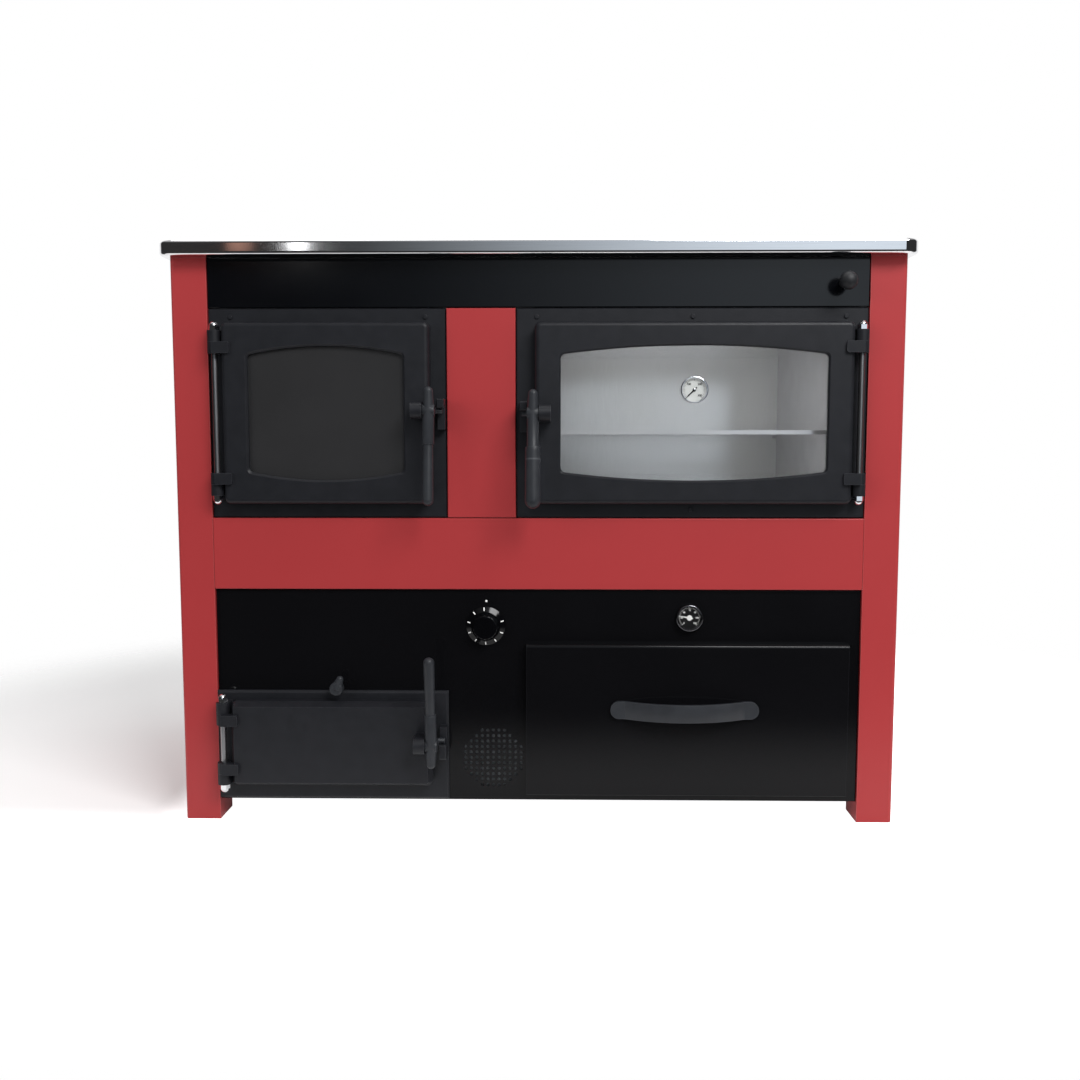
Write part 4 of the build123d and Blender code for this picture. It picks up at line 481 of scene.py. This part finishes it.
def rounded_loop(low, high):
    """Points and inward directions along a rounded rectangle in X and Z."""
    straight = SEAL_WIDTH / 2 + SEAL_CORNER
    corners = (
        (high.x - straight, high.z - straight, 0.0),
        (low.x + straight, high.z - straight, 90.0),
        (low.x + straight, low.z + straight, 180.0),
        (high.x - straight, low.z + straight, 270.0),
    )
    middle = (low.y + high.y) / 2
    bends = []
    for x, z, start in corners:
        for step in range(BEND_STEPS + 1):
            angle = math.radians(start + 90.0 * step / BEND_STEPS)
            out = Vector((math.cos(angle), 0, math.sin(angle)))
            bends.append((Vector((x, middle, z)) + out * SEAL_CORNER, out))
    run = []
    for index, (point, out) in enumerate(bends):
        following, out_after = bends[(index + 1) % len(bends)]
        parts = max(1, round((following - point).length / ROPE_STEP))
        for step in range(parts):
            share = step / parts
            run.append((point.lerp(following, share), out.lerp(out_after, share).normalized()))
    return run


def rope_seal(node, body):
    """A twisted rope in place of a plain seal."""
    low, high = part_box(node)
    run = rounded_loop(low, high)
    lengths = [0.0]
    for (point, _), (following, _) in zip(run, run[1:] + run[:1]):
        lengths.append(lengths[-1] + (following - point).length)
    turns = round(lengths[-1] / ROPE_PITCH)
    bm = bmesh.new()
    for yarn in range(YARNS):
        centres = []
        for (point, out), length in zip(run, lengths):
            angle = 2 * math.pi * (turns * length / lengths[-1] + yarn / YARNS)
            offset = out * math.cos(angle) + Vector((0, -math.sin(angle), 0))
            centres.append(point + offset * YARN_REACH)
        tube(bm, centres, YARN_RADIUS, YARN_SIDES)
    obj = piece(f"{node}_rope", finish_mesh(bm, f"{node}_rope"), ROPE, body)
    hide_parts(node)


rope_seal("fire_door_seal", "fire_door_leaf")
rope_seal("oven_door_seal", "oven_door_leaf")
rope_seal("ash_door_seal", "ash_door_leaf")


# ---- instruments ----
TRIM_RING = 1.7 * MM
TRIM_RISE = 2.6 * MM
TRIM_LIP = 0.5 * MM
TRIM_GAP = 0.1 * MM
BEZEL = 2.1 * MM
DIAL_DEPTH = 5.5 * MM
DIAL_LIFT = 0.05 * MM
FACE_THICKNESS = 0.12 * MM
LONG_TICK = (0.7 * MM, 2.5 * MM)
SHORT_TICK = (0.45 * MM, 1.6 * MM)
TICK_MARGIN = 0.6 * MM
TICK_BASE = 0.13 * MM
TICK_THICKNESS = 0.06 * MM
NUMBER_MARGIN = 5.0 * MM
NUMBER_BASE = 0.16 * MM
NUMBER_BOLD = 0.16 * MM
NUMBER_THICKNESS = 0.03 * MM


def centre_of(node):
    """The middle of a node's box."""
    low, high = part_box(node)
    return (low + high) / 2


def dial(name, case, body, face_material, trim, ink, ticks, numbers, number_size):
    """A printed dial face with ticks and plain numbers, and the sloping trim ring round it."""
    low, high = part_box(case)
    middle = (low + high) / 2
    floor = low.y + DIAL_DEPTH
    place = facing(middle.x, floor - DIAL_LIFT, middle.z)
    radius = (high.x - low.x) / 2 - BEZEL
    bm = bmesh.new()
    inner = radius - TRIM_RING
    outer = radius - TRIM_GAP
    lathe(bm, [(inner, 0.0), (inner, TRIM_LIP), (outer, TRIM_RISE), (outer, 0.0)], place)
    piece(f"{name}_trim", finish_mesh(bm, f"{name}_trim"), trim, body)
    bm = bmesh.new()
    lathe(bm, [(0.0, FACE_THICKNESS), (radius, FACE_THICKNESS), (radius, 0.0)], place)
    piece(f"{name}_face", finish_mesh(bm, f"{name}_face"), face_material, body)
    start, sweep, count, long_every = ticks
    bm = bmesh.new()
    for step in range(count + 1):
        width, length = SHORT_TICK if step % long_every else LONG_TICK
        turn = place @ clock(start + sweep * step / count)
        offset = Matrix.Translation((0, inner - TICK_MARGIN - length / 2, TICK_BASE))
        bar(bm, turn @ offset, width, length, TICK_THICKNESS)
    piece(f"{name}_ticks", finish_mesh(bm, f"{name}_ticks", False), ink, body)
    for step, number in enumerate(numbers):
        angle = start + sweep * step / (len(numbers) - 1)
        text = bpy.data.curves.new(f"{name}_number_{number}", "FONT")
        text.body = str(number)
        text.size = number_size
        text.offset = NUMBER_BOLD
        text.align_x = "CENTER"
        text.align_y = "CENTER"
        text.extrude = NUMBER_THICKNESS
        obj = bpy.data.objects.new(f"{name}_number_{number}", text)
        bpy.context.scene.collection.objects.link(obj)
        text.materials.append(ink)
        reach = inner - NUMBER_MARGIN
        x = reach * math.sin(math.radians(angle))
        y = reach * math.cos(math.radians(angle))
        obj.matrix_world = place @ Matrix.Translation((x, y, NUMBER_BASE))
        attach(obj, body)


dial("oven_dial", "oven_thermometer_case", "oven_door_leaf", DIAL_WHITE, BRIGHT, BLACK_INK,
     (225.0, 270.0, 30, 5), (0, 100, 200, 300), 4.2 * MM)
dial("water_dial", "water_gauge_case", "carcass", DIAL_BLACK, SMOKED, WHITE_INK,
     (225.0, 270.0, 36, 6), (0, 20, 40, 60, 80, 100, 120), 3.4 * MM)


def needle_cap(name, needle, body, radius, material):
    """The domed cap over a needle's arbor."""
    low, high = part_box(needle)
    case = "oven_thermometer_case" if body == "oven_pointer" else "water_gauge_case"
    middle = centre_of(case)
    bm = bmesh.new()
    place = facing(middle.x, low.y, middle.z)
    lathe(bm, [(radius, 0.0), (radius, 0.3 * MM), (radius * 0.7, 0.65 * MM), (0.0, 0.8 * MM)], place, 40)
    piece(name, finish_mesh(bm, name), material, body)


needle_cap("oven_needle_cap", "oven_thermometer_needle", "oven_pointer", 2.2 * MM, BRIGHT)
needle_cap("water_needle_cap", "water_gauge_needle", "water_pointer", 4.2 * MM, WHITE_INK)

# ---- thermostat knob: marks on its skirt and the dot above it ----
MARK_ANGLES = (-5.0, -41.0, -77.0, -112.0, -145.0, 180.0, 146.0, 112.0, 73.0)
MARK_REACH = 26.6 * MM
MARK_TILT = 30.6
MARK_SIZE = (1.7 * MM, 5.4 * MM, 0.12 * MM)
SKIRT_RISE = 4.05 * MM
DOT_OFFSET = (1.0 * MM, 38.6 * MM)
DOT_RADIUS = 1.7 * MM
knob_middle = centre_of("thermostat_knob")
panel_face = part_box("lower_panel")[0].y
bm = bmesh.new()
for angle in MARK_ANGLES:
    turned = facing(knob_middle.x, panel_face - SKIRT_RISE, knob_middle.z) @ clock(angle)
    sloped = Matrix.Translation((0, MARK_REACH, 0)) @ Matrix.Rotation(-math.radians(MARK_TILT), 4, "X")
    bar(bm, turned @ sloped, *MARK_SIZE)
piece("thermostat_marks", finish_mesh(bm, "thermostat_marks", False), WHITE_INK, "thermostat")
bm = bmesh.new()
dot = facing(knob_middle.x + DOT_OFFSET[0], panel_face, knob_middle.z + DOT_OFFSET[1])
lathe(bm, [(0.0, 0.0), (DOT_RADIUS, 0.0), (DOT_RADIUS - 0.1 * MM, 0.15 * MM), (0.0, 0.2 * MM)], dot, 32)
piece("thermostat_dot", finish_mesh(bm, "thermostat_dot"), WHITE_INK, "carcass")


# ---- stage, in metres ----
AMBIENT = 0.42
ROOM = 0.03
WINDOW = 0.95
WINDOW_TINT = (0.82, 0.91, 1.0, 1.0)
WARM = (1.0, 0.5, 0.36)
FLOOR_HALF = 2.0
FLOOR_DROP = 0.2 * MM
FLOOR_FADE = (1.15, 1.75)
FLOOR_FRONT = (-0.97, -0.45)
FLOOR_LIFT = 0.05
FLOOR_MIRRORED = 0.1
WHITE_BEFORE = (-0.42, -0.22)
WHITE_RIGHT = (-0.62, -0.52)


def stage_floor():
    """A pale floor that keeps the stove's shadow and ends softly in the white around it."""
    bm = bmesh.new()
    bmesh.ops.create_grid(bm, x_segments=1, y_segments=1, size=FLOOR_HALF)
    mesh = bpy.data.meshes.new("floor")
    bm.to_mesh(mesh)
    bm.free()
    floor = bpy.data.objects.new("floor", mesh)
    floor.location.z = -FLOOR_DROP
    bpy.context.scene.collection.objects.link(floor)
    paint = Paint("floor_paper", grey(0.93), 0.9, specular=0.1)
    paint.tint(paint.spread(paint.noise(3.0), 0.0, 1.0), 0.985, 1.0)
    split = paint.add("ShaderNodeSeparateXYZ")
    paint.feed(paint.coordinates, split.inputs["Vector"])
    depth = split.outputs["Y"]
    rays = paint.add("ShaderNodeLightPath").outputs
    before = paint.spread(depth, 1.0, 0.0, *WHITE_BEFORE, smooth=True)
    right = paint.spread(split.outputs["X"], 0.0, 1.0, *WHITE_RIGHT, smooth=True)
    bright = paint.spread(paint.math("MAXIMUM", before, right), FLOOR_LIFT, 1.0, 0.0, 1.0)
    seen = paint.math("MULTIPLY", rays["Is Camera Ray"], bright)
    unseen = paint.math("MAXIMUM", rays["Is Glossy Ray"], rays["Is Transmission Ray"])
    lift = paint.math("MAXIMUM", seen, paint.math("MULTIPLY", unseen, FLOOR_MIRRORED))
    paint.feed(grey(1.0), paint.shader.inputs["Emission Color"])
    paint.feed(lift, paint.shader.inputs["Emission Strength"])
    distance = paint.add("ShaderNodeVectorMath", operation="LENGTH")
    paint.feed(paint.coordinates, distance.inputs[0])
    around = paint.spread(distance.outputs["Value"], 1.0, 0.0, *FLOOR_FADE, smooth=True)
    front = paint.spread(depth, 0.0, 1.0, *FLOOR_FRONT, smooth=True)
    paint.feed(paint.math("MULTIPLY", around, front), paint.shader.inputs["Alpha"])
    dress(floor, paint.material)


def world_light():
    """Even grey light; reflections see a dim room, a wide window in it and white behind the stove."""
    world = bpy.data.worlds.new("studio")
    world.use_nodes = True
    bpy.context.scene.world = world
    graph = Graph(world.node_tree)
    split = graph.add("ShaderNodeSeparateXYZ")
    graph.feed(graph.add("ShaderNodeTexCoord").outputs["Generated"], split.inputs["Vector"])
    x, y, z = split.outputs
    window = graph.spread(x, 0.0, WINDOW, -0.24, 0.27, smooth=True)
    window = graph.math("MULTIPLY", window, graph.spread(x, 1.0, 0.0, 0.34, 0.42, smooth=True))
    window = graph.math("MULTIPLY", window, graph.spread(y, 1.0, 0.0, -0.7, -0.5, smooth=True))
    window = graph.math("MULTIPLY", window, graph.spread(z, 0.0, 1.0, -0.12, -0.04, smooth=True))
    behind = graph.spread(y, 0.0, 1.0, 0.2, 0.5, smooth=True)
    above = graph.spread(z, 0.0, 0.4, 0.45, 0.8, smooth=True)
    plain = graph.math("MAXIMUM", graph.math("MAXIMUM", behind, above), ROOM)
    pale = graph.mix(plain, grey(0.0), grey(1.0))
    seen = graph.add("ShaderNodeMix", data_type="RGBA", blend_type="ADD")
    seen.inputs["Factor"].default_value = 1.0
    graph.feed(pale, seen.inputs["A"])
    graph.feed(graph.mix(window, grey(0.0), WINDOW_TINT), seen.inputs["B"])
    rays = graph.add("ShaderNodeLightPath").outputs
    mirrored = graph.math("MAXIMUM", rays["Is Glossy Ray"], rays["Is Transmission Ray"])
    around = graph.mix(mirrored, grey(AMBIENT), seen.outputs["Result"])
    background = world.node_tree.nodes["Background"]
    graph.feed(graph.mix(rays["Is Camera Ray"], around, grey(1.0)), background.inputs["Color"])


def softbox(name, place, target, width, height, watts, mirrored=True, color=(1.0, 1.0, 1.0), spread=180):
    """A rectangular soft light that looks at a point, left out of reflections where asked."""
    data = bpy.data.lights.new(name, "AREA")
    data.shape = "RECTANGLE"
    data.size = width
    data.size_y = height
    data.energy = watts
    data.color = color
    data.spread = math.radians(spread)
    lamp = bpy.data.objects.new(name, data)
    lamp.location = place
    lamp.rotation_euler = (Vector(target) - Vector(place)).to_track_quat("-Z", "Y").to_euler()
    lamp.visible_glossy = mirrored
    bpy.context.scene.collection.objects.link(lamp)


def camera():
    """The photograph's own viewpoint."""
    data = bpy.data.cameras.new("camera")
    data.lens = CAMERA_LENS
    data.sensor_width = SENSOR
    obj = bpy.data.objects.new("camera", data)
    obj.location = (CAMERA_X, COLUMN_FACE - CAMERA_BEFORE_COLUMNS, CAMERA_HEIGHT)
    obj.rotation_euler = (math.radians(90 - CAMERA_PITCH), 0.0, math.radians(CAMERA_YAW))
    bpy.context.scene.collection.objects.link(obj)
    bpy.context.scene.camera = obj


stage_floor()
world_light()
# The oven's lamp is in its mouth and looks in; the strip and the warm one show in the rail.
softbox("key", (1.2, -2.2, 2.4), (0.0, 0.0, 0.35), 1.5, 1.0, 72.0)
softbox("side", (3.2, -1.2, 1.1), (0.0, 0.0, 0.3), 1.6, 1.4, 20.0, mirrored=False)
softbox("fill", (-2.6, -2.6, 1.5), (0.0, 0.0, 0.5), 1.8, 1.6, 34.0, mirrored=False)
softbox("top", (0.0, 0.2, 3.0), (0.0, 0.0, 0.0), 2.6, 1.6, 32.0)
softbox("strip", (-1.035, -3.17, 1.5), (-0.347, -0.3, 0.876), 0.07, 0.28, 0.21)
softbox("warm", (-1.276, -3.17, 1.5), (-0.436, -0.3, 0.876), 0.09, 0.28, 0.032, color=WARM)
softbox("oven", (0.234, -0.228, 0.625), (0.234, 0.3, 0.625), 0.42, 0.2, 0.57, mirrored=False, spread=80)
camera()
bpy.context.scene.view_settings.view_transform = "Standard"
